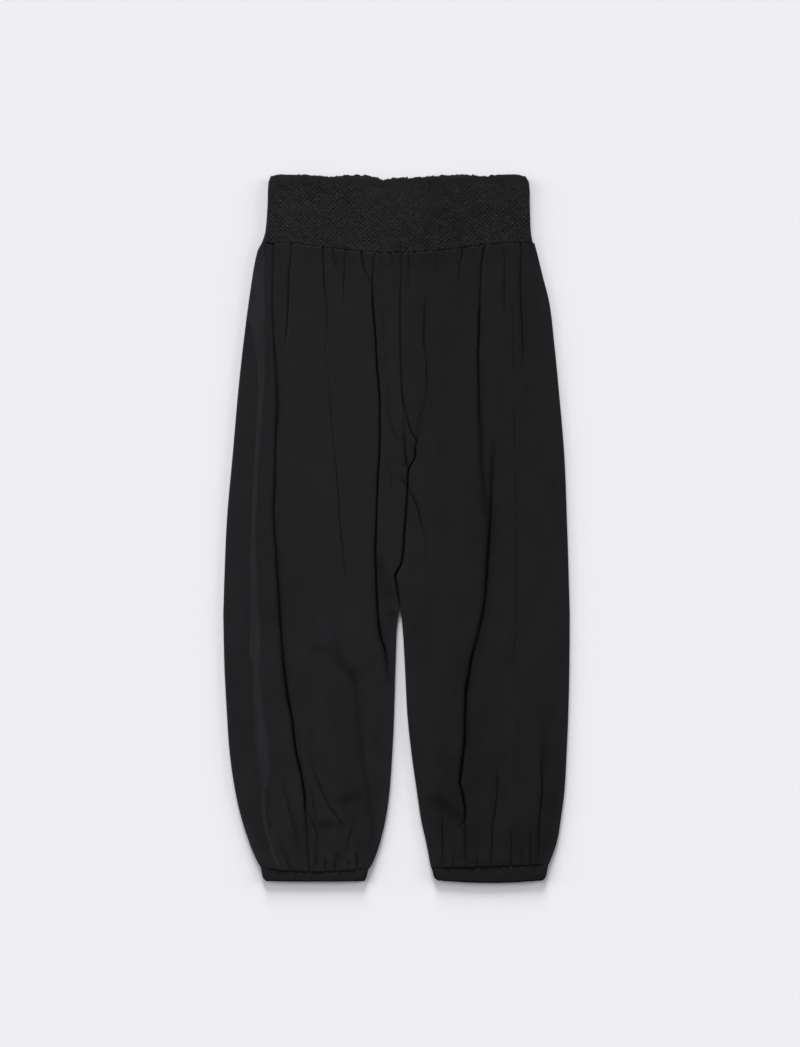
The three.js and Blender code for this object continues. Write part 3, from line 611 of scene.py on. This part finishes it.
def makeKnitGroup():
    # jersey: wales and courses of the knit, soft mottling, and painted shade from the vertex attribute, which
    # paints light where it is negative
    group = bpy.data.node_groups.new("jerseyKnit", "ShaderNodeTree")
    sockets = {
        "INPUT": {"Cut": "Vector", "Place": "Vector", "Shade": "Float", "Wales": "Float", "Dark": "Color",
                  "Light": "Color"},
        "OUTPUT": {"Color": "Color", "Roughness": "Float", "Height": "Float"},
    }
    for way, kinds in sockets.items():
        for name, kind in kinds.items():
            group.interface.new_socket(name, in_out=way, socket_type="NodeSocket" + kind)
    come = group.nodes.new("NodeGroupInput").outputs
    go = group.nodes.new("NodeGroupOutput").inputs
    link = group.links.new

    def times(a, b):
        return mathNode(group, "MULTIPLY", a, b)

    def plus(a, b):
        return mathNode(group, "ADD", a, b)

    # a wale is a column of stitches: its two legs lean together
    cut = group.nodes.new("ShaderNodeSeparateXYZ")
    link(come["Cut"], cut.inputs[0])
    half = mathNode(group, "PINGPONG", times(cut.outputs["X"], come["Wales"]), 0.5)
    down = times(times(cut.outputs["Y"], come["Wales"]), knitValues["course"])
    stitch = mathNode(group, "SINE", times(plus(down, half), 2 * math.pi))
    wale = mathNode(group, "SINE", times(half, 2 * math.pi))
    knit = plus(times(wale, knitValues["waleRelief"]), times(stitch, knitValues["stitchRelief"]))
    fuzz = noiseNode(group, come["Place"], knitValues["fuzzScale"], 2)
    mottle = noiseNode(group, come["Place"], knitValues["mottleScale"], 4, 0.6)
    cloud = noiseNode(group, come["Place"], knitValues["cloudScale"], 2)
    link(plus(knit, times(fuzz, knitValues["fuzzRelief"])), go["Height"])
    tone = plus(plus(times(mottle, 0.5), times(cloud, 0.5)), times(knit, knitValues["knitTone"]))
    blend = group.nodes.new("ShaderNodeMix")
    blend.data_type = "RGBA"
    link(tone, blend.inputs["Factor"])
    link(come["Dark"], blend.inputs[6])
    link(come["Light"], blend.inputs[7])
    # painted shade: the colour darkens towards the wearer's left, standing in for light that comes from the
    # other side
    place = group.nodes.new("ShaderNodeSeparateXYZ")
    link(come["Place"], place.inputs[0])
    paintedSideShade = group.nodes.new("ShaderNodeMapRange")
    paintedSideShade.interpolation_type = "SMOOTHSTEP"
    link(place.outputs["X"], paintedSideShade.inputs["Value"])
    setInputs(paintedSideShade.inputs, knitValues["paintedSideShade"])
    # painted shade darkens the colour, and its negative values paint it lighter
    left = mathNode(group, "SUBTRACT", 1.0, times(come["Shade"], knitValues["paintedShadeStrength"]))
    shaded = group.nodes.new("ShaderNodeVectorMath")
    shaded.operation = "SCALE"
    link(blend.outputs[2], shaded.inputs[0])
    link(times(left, paintedSideShade.outputs["Result"]), shaded.inputs["Scale"])
    link(shaded.outputs[0], go["Color"])
    link(plus(plus(times(mottle, 0.12), knitValues["rough"]), times(come["Shade"], 0.1)), go["Roughness"])
    return group


knitGroup = makeKnitGroup()


def knitMaterial(name, values):
    material = bpy.data.materials.new(name)
    material.use_nodes = True
    tree = material.node_tree
    shader = tree.nodes["Principled BSDF"].inputs
    cut = tree.nodes.new("ShaderNodeUVMap")
    cut.uv_map = "cut"
    shade = tree.nodes.new("ShaderNodeAttribute")
    shade.attribute_name = "paintedShadeAndLight"
    knit = tree.nodes.new("ShaderNodeGroup")
    knit.node_tree = knitGroup
    coord = tree.nodes.new("ShaderNodeTexCoord")
    bump = tree.nodes.new("ShaderNodeBump")
    setInputs(knit.inputs, {"Wales": values["walesPerMetre"], "Dark": (*values["dark"], 1),
                            "Light": (*values["light"], 1)})
    setInputs(bump.inputs, {"Strength": values["bump"], "Distance": values["bumpHeight"]})
    for output, socket in (
        (cut.outputs["UV"], knit.inputs["Cut"]),
        (coord.outputs["Object"], knit.inputs["Place"]),
        (shade.outputs["Fac"], knit.inputs["Shade"]),
        (knit.outputs["Height"], bump.inputs["Height"]),
        (knit.outputs["Color"], shader["Base Color"]),
        (knit.outputs["Roughness"], shader["Roughness"]),
        (bump.outputs["Normal"], shader["Normal"]),
    ):
        tree.links.new(output, socket)
    setInputs(shader, {"Specular IOR Level": values["gloss"], "Sheen Weight": values["sheen"],
                       "Sheen Roughness": 0.45, "Sheen Tint": (0.5, 0.5, 0.55, 1)})
    return material


cloths = {
    "jersey": {"walesPerMetre": 1250, "dark": (0.0082, 0.0082, 0.0092), "light": (0.0138, 0.0138, 0.0154),
               "bump": 0.3, "bumpHeight": 0.0002, "gloss": 0.07, "sheen": 0.02},
    "smocked": {"walesPerMetre": 1500, "dark": (0.0078, 0.0078, 0.0086), "light": (0.0152, 0.0152, 0.0168),
                "bump": 0.4, "bumpHeight": 0.00024, "gloss": 0.08, "sheen": 0.02},
    "cuff": {"walesPerMetre": 1250, "dark": (0.0067, 0.0069, 0.0078), "light": (0.0116, 0.0119, 0.0133),
             "bump": 0.35, "bumpHeight": 0.0002, "gloss": 0.07, "sheen": 0.02},
}
jersey = knitMaterial("blackJersey", cloths["jersey"])
smocked = knitMaterial("smockedJersey", cloths["smocked"])
cuffCloth = knitMaterial("cuffJersey", cloths["cuff"])
print("materials made")


studio = {
    "frameWidth": 1072.0,  # across the picture at the height of the cloth, in millimetres as the middle is
    "middle": (4.69, 7.37),
    "clothHeight": 0.006,  # this and the next are in metres
    "cameraHeight": 4.0,
    "sensor": 36,
    "floor": (0.803, 0.797, 0.834),
    "floorSize": 6,  # metres
    "floorDrop": 0.0002,
    "sky": 0.25,
    "suns": {
        "topSun": {"strength": 5.18, "height": 15.5, "turn": 4, "soft": 20},
        "leftSun": {"strength": 1.88, "height": 13.8, "turn": 78, "soft": 28},
        "rightSun": {"strength": 2.02, "height": 13.8, "turn": -74, "soft": 28},
        "highSun": {"strength": 0.44, "height": 38, "turn": 60, "soft": 40},
    },
}


def makeCamera():
    data = bpy.data.cameras.new("camera")
    data.type = "PERSP"
    data.sensor_fit = "HORIZONTAL"
    data.sensor_width = studio["sensor"]
    distance = studio["cameraHeight"] - studio["clothHeight"]
    data.lens = studio["sensor"] * distance / (studio["frameWidth"] * mm)
    data.clip_end = 30
    camera = addObject("camera", data)
    camera.location = (studio["middle"][0] * mm, studio["middle"][1] * mm, studio["cameraHeight"])
    bpy.context.scene.camera = camera


def makeSun(name, values):
    # turn is counted from the waist end of the picture towards its left
    data = bpy.data.lights.new(name, "SUN")
    data.energy = values["strength"]
    data.angle = math.radians(values["soft"])
    height, turn = math.radians(values["height"]), math.radians(values["turn"])
    come = Vector((-math.sin(turn) * math.cos(height), math.cos(turn) * math.cos(height), math.sin(height)))
    addObject(name, data).rotation_euler = come.to_track_quat("Z", "Y").to_euler()


def makeStudio():
    bm = bmesh.new()
    bmesh.ops.create_grid(bm, x_segments=1, y_segments=1, size=studio["floorSize"])
    bmesh.ops.translate(bm, verts=bm.verts, vec=(0, 0, -studio["floorDrop"]))
    floor = meshObject("floor", bm)
    material = bpy.data.materials.new("paleFloor")
    material.use_nodes = True
    setInputs(material.node_tree.nodes["Principled BSDF"].inputs,
              {"Base Color": (*studio["floor"], 1), "Roughness": 0.95, "Specular IOR Level": 0.0})
    floor.data.materials.append(material)
    world = bpy.data.worlds.new("softStudio")
    bpy.context.scene.world = world
    world.use_nodes = True
    setInputs(world.node_tree.nodes["Background"].inputs, {"Color": (1, 1, 1, 1), "Strength": studio["sky"]})
    for name, values in studio["suns"].items():
        makeSun(name, values)
    bpy.context.scene.view_settings.view_transform = "Standard"
    bpy.context.scene.view_settings.look = "None"


makeCamera()
makeStudio()
print("camera, floor and lights made")


legCloth = {
    "rows": 262,
    "crowd": 0.5,
    "fold": 0.4,
    "stripColumns": 4,
    "turnColumns": 8,
    "backTop": 44,
    "backUnder": 44,
    "backMiddle": (4.5, 2),  # at the crotch and at the waist
    "backGathers": (372, -447),
    "leftFolds": 4,  # the back's folds lie this much further out on the left leg
    "flatFront": 0.195,  # metres
    "flatLength": 0.85,
    "seamDip": 0.3,
    "seamDark": 0.42,
    "seamWide": 0.8,
    "seamTop": 312,  # the fine side seam starts here, and is shallower and fainter lower down
    "seamFaint": -190,
    "seamShallow": -150,
    "waistDip": 0.9,
    "waistRun": 1.0,
    "waistTuck": 0.6,
    "waistBend": 60,
    "cuffDip": 0.16,
    "cuffRun": 3.4,
    "cuffTuck": 1.6,
    "cuffBend": 40,
}


def crowded(t, amount):
    # spreads columns so that they crowd at both ends
    return t - amount * math.sin(2 * math.pi * t) / (2 * math.pi)


def rowPlace(leg, x, y, under):
    # ends of the rows follow the waist seam and the cuff seam, tucked in behind them
    cuff = leg["cuff"]
    nearWaist = smooth(1 - (garment["clothTop"] - y) / legCloth["waistBend"])
    nearCuff = smooth(1 - (y - garment["cuffSeamY"] - 1) / legCloth["cuffBend"])
    waist = (garment["waistY"] if under else waistLine(x)) + legCloth["waistTuck"]
    across = (leg["side"] * x - cuff["inner"]) / (cuff["edge"] - cuff["inner"])
    foot = cuffSeam(cuff, across, not under) - garment["cuffSeamY"] - legCloth["cuffTuck"]
    return y + nearWaist * (waist - garment["clothTop"]) + nearCuff * foot


def cuffSeam(cuff, across, onFront):
    # the cuff's seam, from the inner edge (0) to the outer edge (1)
    sag = cuff["sag"] * math.sin(math.pi * min(1, max(0, across))) if onFront else 0
    return mix(cuff["innerY"], cuff["edgeY"], across) - sag


def sideSeam(leg, y, away, z, shade):
    # the left leg's fine side seam: a dip with painted shade along it; the right leg's is its ridge
    if leg["ridge"] is not None:
        return z, shade
    shown = smooth((legCloth["seamTop"] - y) / 20) * (1 - 0.5 * smooth((legCloth["seamFaint"] - y) / 60))
    dark = legCloth["seamDark"] * shown * min(1.3, max(0.2, 0.9 + 1.6 * ripple(y / 22, 37.5)))
    dip = legCloth["seamDip"] * (1 - 0.75 * smooth((legCloth["seamShallow"] - y) / 70))
    near = bell(away, legCloth["seamWide"])
    return z - dip * near, max(shade, dark * near)


def waistMark(x, folds):
    # how deep the waist seam is and how strong its painted shade: short strokes, and a pucker where a fold
    # runs in
    stroke = 0.1 + 0.3 * smooth((ripple(x / 6.5, 12.5) + 0.02) / 0.3)
    stroke += sum(strength * bell(x - at, run) for at, run, strength in waistStrokes)
    for place, depth, *_ in folds:
        stroke += 0.3 * min(1.0, depth / 1.5) * bell(x - place, 2.2)
    return min(1.0, stroke)


def cuffMark(x):
    return min(1.0, max(0.0, 0.5 + 1.3 * ripple(x / 12, 16.5)))


def seamDips(x, y, folds, shade):
    # the cloth turns down into the waist seam and the cuff seam: how deep, and their painted shade joined
    # with the shade given
    fromWaist = max(0.0, garment["clothTop"] - y)
    fromCuff = max(0.0, y - garment["clothFoot"])
    dip = dark = 0.0
    if fromWaist < 8:
        mark = waistMark(x, folds)
        dip = legCloth["waistDip"] * (0.3 + 0.7 * mark) * bell(fromWaist, legCloth["waistRun"])
        dark = max(0.25, 0.8 * mark) * bell(fromWaist, 2.3)
    if fromCuff < 12:
        mark = cuffMark(x)
        dip += legCloth["cuffDip"] * (0.4 + 0.6 * mark) * bell(fromCuff, legCloth["cuffRun"])
        dark += 0.1 * bell(fromCuff, 6) + 0.03 * mark * bell(fromCuff, 2.8)
    dark = min(1, dark)
    return dip, shade if shade < 0 and dark < 0.02 else max(shade, dark)


def turnedStrip(limit, topZ, turn, up):
    # the inner edge of a leg, turned over by a quarter circle below the crotch
    steps = legCloth["stripColumns"]
    length = math.pi / 2 * garment["rollRadius"]
    points = []
    bend = length / turn if turn > 0.02 else 0
    start = limit + (bend * math.sin(turn) if bend else length)
    for k in range(steps + 1):
        angle = turn * k / steps
        out = start - bend * math.sin(angle) if bend else start - length * k / steps
        drop = bend * (1 - math.cos(angle)) if bend else 0
        points.append((out, topZ - up * drop))
    return points


def innerTurn(y):
    return math.pi / 2 * smooth((garment["crotchY"] + 10 - y) / 36)


def makeLegPiece(leg, half, columns, buildRow, flatWidth):
    # buildRow(y) gives a whole row of the piece, which is worked out once
    rows = legCloth["rows"]
    known = {}

    def place(i, j):
        if j not in known:
            up = crowded(j / rows, legCloth["crowd"])
            known[j] = buildRow(mix(garment["clothFoot"], garment["clothTop"], up))
        return known[j][i]

    piece = clothPiece(f"{leg['name']}Leg{half.title()}", columns, rows, place, flip=leg["side"] < 0)
    finishPiece(piece, f"{leg['name']}_leg_{half}", jersey, garment["shell"],
                (flatWidth, legCloth["flatLength"]))


def makeLegFront(leg):
    counts = [count for count, line in leg["guides"]] + [leg["lastColumns"]]

    def buildRow(y):
        row = legRow(leg, y)
        limit = row["inner"]
        topZ, _, shade = frontHeight(leg, row, limit + garment["rollRadius"] * innerTurn(y), y)
        turned = turnedStrip(limit, topZ, innerTurn(y), 1)
        points = [(out, z, shade if out - limit < 1.5 else 0) for out, z in reversed(turned)]
        if y > garment["crotchY"]:
            points = [(out, *frontHeight(leg, row, out, y)[::2]) for out, z, _ in points]
        stops = [points[-1][0]] + [curved(line, y) for count, line in leg["guides"]] + [row["seam"]]
        for low, high, count in zip(stops, stops[1:], counts):
            for k in range(1, count + 1):
                out = mix(low, high, crowded(k / count, legCloth["fold"]))
                toSeam = row["seam"] - out
                z, shift, shade = frontHeight(leg, row, out, y)
                points.append((out + (shift if toSeam > 0.5 else 0), *sideSeam(leg, y, toSeam, z, shade)))
        placed = []
        for out, z, shade in points:
            x = leg["side"] * out
            dip, dark = seamDips(x, y, row["folds"], shade)
            placed.append((x, rowPlace(leg, x, y, False), max(z - dip, garment["lowestTurn"]), dark, out, y))
        return placed

    makeLegPiece(leg, "front", legCloth["stripColumns"] + sum(counts), buildRow, legCloth["flatFront"])


# folds of the hidden side, counted out from the middle
underFolds = [
    fold([(376, 46), (190, 50), (0, 52), (-200, 46), (-448, 60)],
         [(376, 1.3), (300, 1), (150, 0.6), (-60, 0.9), (-250, 0.5), (-330, 0)], 2.2),
    fold([(376, 82), (190, 76), (0, 70)], [(376, 1.3), (310, 0.8), (230, 0)], 1.9),
    fold([(376, 116), (250, 122), (0, 124), (-250, 112), (-448, 96)],
         [(376, 1.4), (300, 0.5), (100, 0.7), (-100, 1.2), (-300, 1.2), (-400, 0.7), (-449, 1.1)], 2),
    fold([(376, 150), (260, 156), (180, 158)], [(376, 1.3), (300, 0.9), (210, 0)], 1.8),
    fold([(-330, 150), (-400, 143), (-449, 135)], [(-320, 0), (-380, 0.9), (-449, 1.2)], 1.8),
    fold([(-350, 74), (-449, 78)], [(-340, 0), (-400, 1), (-449, 1.1)], 1.8),
    fold([(-300, 188), (-449, 162)], [(-290, 0), (-370, 1), (-449, 1.1)], 1.9),
]


def underHeight(leg, row, out, y):
    # the back lies on the surface, and only its folds stand clear of it
    x = leg["side"] * out
    z = shade = 0.0
    for each in underFolds:
        depth = straight(each["deep"], y)
        if depth < 0.02:
            continue
        place = curved(each["line"], y) + (legCloth["leftFolds"] if leg["side"] > 0 else 0)
        z += depth * bell(out - place, each["wide"])
        # painted shade along each hidden fold
        shade = max(shade, 0.5 * depth * bell(out - place, 0.8 * each["wide"]))
    gatherTop, gatherFoot = legCloth["backGathers"]
    z += max(0, gatherWave(x, max(0, gatherTop - y), *gathers["backWaist"]))
    z += max(0, gatherWave(x + 30, max(0, y - gatherFoot), *gathers["backCuff"]))
    if y > garment["crotchY"]:
        d = out - row["backInner"]
        z += 0.6 * bell(d, 1.1)
        # painted shade along the back's middle seam
        shade = max(shade, 0.5 * bell(d, 0.9))
    return z, min(1, shade)


def makeLegBack(leg):
    top, turnCount, under = legCloth["backTop"], legCloth["turnColumns"], legCloth["backUnder"]
    strip = legCloth["stripColumns"]

    def buildRow(y):
        row = legRow(leg, y)
        radius = row["edgeHeight"] / 2
        turnFrom = row["edge"] - radius
        share = (y - garment["crotchY"]) / (garment["waistY"] - garment["crotchY"])
        middle = leg["side"] * mix(*legCloth["backMiddle"], share)
        row["backInner"] = middle if share > 0 else curved(leg["inner"], y)
        points = []
        for k in range(top + 1):
            out = mix(row["seam"], turnFrom, k / top)
            fromSeam = out - row["seam"]
            z, shift, shade = frontHeight(leg, row, out, y)
            shift = shift if fromSeam > 0.5 and k < top else 0
            points.append((out + shift, *sideSeam(leg, y, fromSeam, z, shade), False))
        for k in range(1, turnCount + 1):
            angle = math.pi / 2 - math.pi * k / turnCount
            out, z = turnFrom + radius * math.cos(angle), radius + radius * math.sin(angle)
            # painted highlight on the turned edge, fading out just below its middle
            light = 1.5 * rimPaintedLight(leg, y, 0) * smooth((angle + 0.6) / 0.6)
            points.append((out, z, -light, angle < 0))
        turned = turnedStrip(row["backInner"], 0, innerTurn(y), -1)
        for k in range(1, under + 1):
            out = mix(turnFrom, turned[0][0], k / under)
            points.append((out, *underHeight(leg, row, out, y), True))
        baseZ = points[-1][1]
        for k, (out, z) in enumerate(turned[1:], 1):
            if y > garment["crotchY"]:
                points.append((out, *underHeight(leg, row, out, y), True))
            else:
                points.append((out, z + baseZ * (1 - k / strip), 0, True))
        placed = []
        for k, (out, z, shade, isUnder) in enumerate(points):
            x = leg["side"] * out
            dip, dark = seamDips(x, y, row["folds"], shade)
            height = max(0.0, min(1.0, (z - 1.2) / 3)) if k < top + turnCount else 0
            z = z - dip * height + (0.5 * dip if isUnder and k > top + turnCount else 0)
            placed.append((x, rowPlace(leg, x, y, isUnder), max(z, 0.0), dark, out + k, y))
        return placed

    makeLegPiece(leg, "back", top + turnCount + under + strip, buildRow, leg["flatBack"])


for leg in (rightLeg, leftLeg):
    makeLegFront(leg)
    makeLegBack(leg)


band = {
    "radius": 3.2,
    "level": 6.7,
    "halfWidth": 180,
    "header": 10.5,
    "headerLine": 0.1,
    "ruffle": 0.5,
    "topNotch": 2.1,
    "notchedHalf": 150,
    "workedHalf": 132,
    "diamond": 6.1,  # from point to point of a diamond
    "relief": 0.85,
    "fineRelief": 0.3,
    "speckPaintedShade": 0.9,
    "speckPaintedLight": 2.6,
    "wander": 1.3,
    "jitter": 0.9,
    "frontGrid": (390, 104),
    "backGrid": (250, 66),
    "turnSteps": 5,
    "thickness": 1.3,
    "flat": (0.37, 0.105),  # metres
    "gathered": 1.6,  # how much wider the strip is than the smocked band
}
# (y, out on the right, out on the left)
bandSides = [(473, 168.6, 173), (464, 171.8, 177.8), (430, 173.2, 178.8), (398, 176.1, 180.2),
             (383, 180.8, 183)]
frontTop = [(180, 473), (172, 475), (150, 475), (138, 474), (126, 472), (104, 474), (86, 473), (72, 472),
            (54, 472), (36, 471.5), (18, 470.5), (4, 470.6), (-8, 470), (-22, 467.4), (-34, 470),
            (-60, 471.2), (-90, 471.8), (-105, 472.8), (-129, 474.4), (-160, 475), (-172, 475), (-180, 473.5)]
backTop = [(180, 468), (160, 471), (138, 472), (126, 472.4), (100, 474.4), (72, 474.4), (54, 473.4),
           (36, 471), (18, 468.6), (-8, 468.8), (-22, 467.6), (-34, 472), (-50, 474.4), (-72, 474),
           (-90, 472.8), (-105, 471.8), (-129, 471), (-180, 468)]


def smocking(x, y):
    # puffs of cloth between two sets of slanting rows of elastic thread, pulled a little out of true
    wander = band["wander"]
    x += wander * ripple(x / 22, y / 20, 5.5) + 0.5 * wander * ripple(x / 8, y / 8, 2.5)
    y += wander * ripple(x / 20, y / 24, 8.5) + 0.5 * wander * ripple(x / 9, y / 7, 6.5)
    x += band["jitter"] * ripple(x / 3.4, y / 3.4, 15.5)
    y += band["jitter"] * ripple(x / 3.4, y / 3.4, 19.5)
    a = abs(math.sin(math.pi * (x + y) / band["diamond"]))
    b = abs(math.sin(math.pi * (x - y) / band["diamond"]))
    puff = (a * b) ** 0.55
    strength = 0.8 + 0.8 * ripple(x / 16, y / 13, 11.5) + 0.8 * ripple(x / 4.6, y / 4.6, 23.5)
    return puff, min(1.5, max(0.15, strength))


def makeBandSide(isFront):
    columns, rows = band["frontGrid"] if isFront else band["backGrid"]
    turnSteps, radius = band["turnSteps"], band["radius"]
    level = band["level"] if isFront else 0
    up = 1 if isFront else -1
    topRows = frontTop if isFront else backTop
    own = 9 * isFront  # keeps the two top edges from matching

    def place(i, j):
        if i < turnSteps:
            turn, across = 1 - i / turnSteps, 0.0
        elif i > columns - turnSteps:
            turn, across = (i - (columns - turnSteps)) / turnSteps, 1.0
        else:
            turn, across = 0.0, (i - turnSteps) / (columns - 2 * turnSteps)
        nominal = mix(-band["halfWidth"], band["halfWidth"], across)
        low = waistLine(nominal) if isFront else garment["waistY"]
        top = curved(topRows, nominal) + 0.35 * ripple(nominal / 3.2, 1.5 + own)
        notch = band["topNotch"] * ripple(nominal / 2.5, 5.5 + own) + 0.45
        top += notch * smooth((band["notchedHalf"] - abs(nominal)) / 12)
        y = mix(low, top, j / rows)
        right, left = (curved([(row[0], row[k]) for row in bandSides], y) for k in (1, 2))
        angle = turn * math.pi / 2
        x = mix(-right + radius, left - radius, across)
        x += (-1 if across == 0 else 1) * radius * math.sin(angle)
        fromTop, fromLow = top - y, y - low
        # how far the smocking reaches, and how much it puffs
        loose = 4 * ripple(x / 19, y / 40, 27.5) + 2 * ripple(x / 6, y / 9, 29.5)
        loose -= 3 * smooth((abs(x) - band["workedHalf"]) / 14)
        worked = smooth((fromTop - band["header"] + 4 + loose) / 7) * smooth(fromLow / 3 + 0.35)
        puff, strength = smocking(x, y)
        # flatter puffs on the wearer's left, above the gathers
        strength *= 1.08 - 0.42 * smooth((fromLow - 38) / 30) * smooth((x + 70) / 60)
        puffed = band["relief"] * strength * worked * (puff - 0.75)
        fine = band["fineRelief"] * worked * ripple(x / 1.9, y / 1.9, 4.5)
        soft = 0.35 * ripple(x / 26, y / 60, 14.5) + 0.25 * ripple((x + y) / 10, (x - y) / 34, 6.5)
        ruffle = band["ruffle"] * (ripple(x / 3.2, 3.5) + ripple(x / 8, 6.5))
        ruffle *= (1 - worked) * smooth(fromLow / 20)
        mark = waistMark(x, ()) if isFront else 0.5
        edge = 0.7 * bell(fromTop, 0.9) + 1.5 * bell(fromLow, 1.3) * (0.3 + 0.7 * mark)
        line = band["headerLine"] * bell(fromTop - band["header"], 0.9) * (1 + 2 * ripple(x / 9, 33.5))
        if isFront:
            rise = puffed + fine + soft + ruffle - edge - line
        else:
            rise = min(0, puffed - 0.2) - 0.6 * bell(fromLow, 1)
        rise *= math.cos(angle) ** 0.5 if angle < 1.5 else 0
        z = level - up * radius + up * (radius * math.cos(angle) + rise)
        # painted shade between the puffs and at the waist seam, and specks of painted shade and painted
        # highlight
        speck = ripple(x / 1.7, y / 1.7, 31.5)
        paintedSpecks = band["speckPaintedShade"] * max(0.0, -speck - 0.2) - band["speckPaintedLight"] * max(0.0, speck - 0.22)
        shade = worked * strength * 0.4 * max(0.0, 0.5 - puff) + 0.8 * mark * bell(fromLow, 1.6)
        shade += worked * min(1.1, strength + 0.4) * paintedSpecks
        # painted shade along the top edge, and random mottling
        shade += 0.35 * bell(fromTop, 0.8) + 0.12 * ripple(x / 14, y / 14, 45.5)
        return x, y, z, min(1, max(-0.8, shade)), x * band["gathered"], y

    half = "front" if isFront else "back"
    piece = clothPiece("waistband" + half.title(), columns, rows, place, flip=not isFront)
    finishPiece(piece, "waistband_" + half, smocked, band["thickness"], band["flat"])


makeBandSide(True)
makeBandSide(False)


cuffValues = {
    "radius": 3.0,
    "around": 300,
    "rows": 18,
    "frontShare": 0.55,
    "turns": 8,
    "bulge": 0.45,
    "cornerFrom": 0.62,  # share of the depth where the hem's corners start to round
    "thickness": 1.5,
    "flatDepth": 0.0225,  # metres
}


def makeCuff(leg):
    cuff = leg["cuff"]
    radius, turns = cuffValues["radius"], cuffValues["turns"]
    around, rows = cuffValues["around"], cuffValues["rows"]
    front = round(around * cuffValues["frontShare"])
    back = around - front - 2 * turns

    def place(i, j):
        share = 1 - j / rows  # 1 at the hem
        rounding = smooth((share - cuffValues["cornerFrom"]) / 0.38)
        corner = 1 - math.sqrt(1 - rounding ** 2 * 0.96)
        low = mix(cuff["inner"], cuff["hemInner"], share) + cuff["cornerIn"] * corner + radius
        high = mix(cuff["edge"], cuff["hemEdge"], share) - cuff["cornerEdge"] * corner - radius
        if i <= front:
            across, angle = i / front, math.pi / 2
        elif i <= front + turns:
            across, angle = 1.0, math.pi / 2 - math.pi * (i - front) / turns
        elif i <= front + turns + back:
            across, angle = 1 - (i - front - turns) / back, -math.pi / 2
        else:
            across, angle = 0.0, -math.pi / 2 - math.pi * (i - front - turns - back) / turns
        out = mix(low, high, across) + radius * math.cos(angle)
        x = leg["side"] * out
        isTop = angle > 0
        seamY = cuffSeam(cuff, across, isTop) + 0.35 * ripple(x / 7, 6.5) + 0.2
        hem = cuff["hemY"] - cuff["belly"] * math.sin(math.pi * across) + 0.3 * ripple(x / 3.1, 8.5) * isTop
        y = mix(seamY, hem, share)
        swell = 0.5 + 1.2 * ripple(x / 15, 3.5)
        pleat = cuff["gather"] * swell * math.sin(x * 1.75 + 4 * ripple(x / 14, 2.5))
        pleat += cuff["gather"] * (1.2 * ripple(x / 2.6, share * 2, 5.5) + 1.4 * ripple(x / 7, share, 8.5))
        full = math.sin(math.pi * min(1, max(0, share))) ** 0.6
        fromSeam, fromHem = share * (seamY - hem), (1 - share) * (seamY - hem)
        dips = 0.32 * bell(fromSeam, 2.0) * (0.4 + 0.6 * cuffMark(x)) + 0.5 * bell(fromHem, 1.2)
        rise = (pleat * (0.5 + 0.5 * full) + cuffValues["bulge"] * full - dips) if isTop else -0.3 * dips
        z = radius + radius * math.sin(angle) + rise * abs(math.sin(angle))
        # painted shade along the cuff's seam
        shade = 0.12 * bell(fromSeam, 4) + 0.14 * cuffMark(x) * bell(fromSeam, 2) if isTop else 0
        return x, y, max(z, 0.0), min(1, max(0, shade)), out if isTop else -out, y

    piece = clothPiece(f"{leg['name']}Cuff", around, rows, place, flip=leg["side"] < 0, joined=True)
    flatRound = 2 * (cuff["edge"] - cuff["inner"]) * mm
    finishPiece(piece, f"{leg['name']}_cuff", cuffCloth, cuffValues["thickness"],
                (flatRound, cuffValues["flatDepth"]))


for leg in (rightLeg, leftLeg):
    makeCuff(leg)

print("all pieces made")
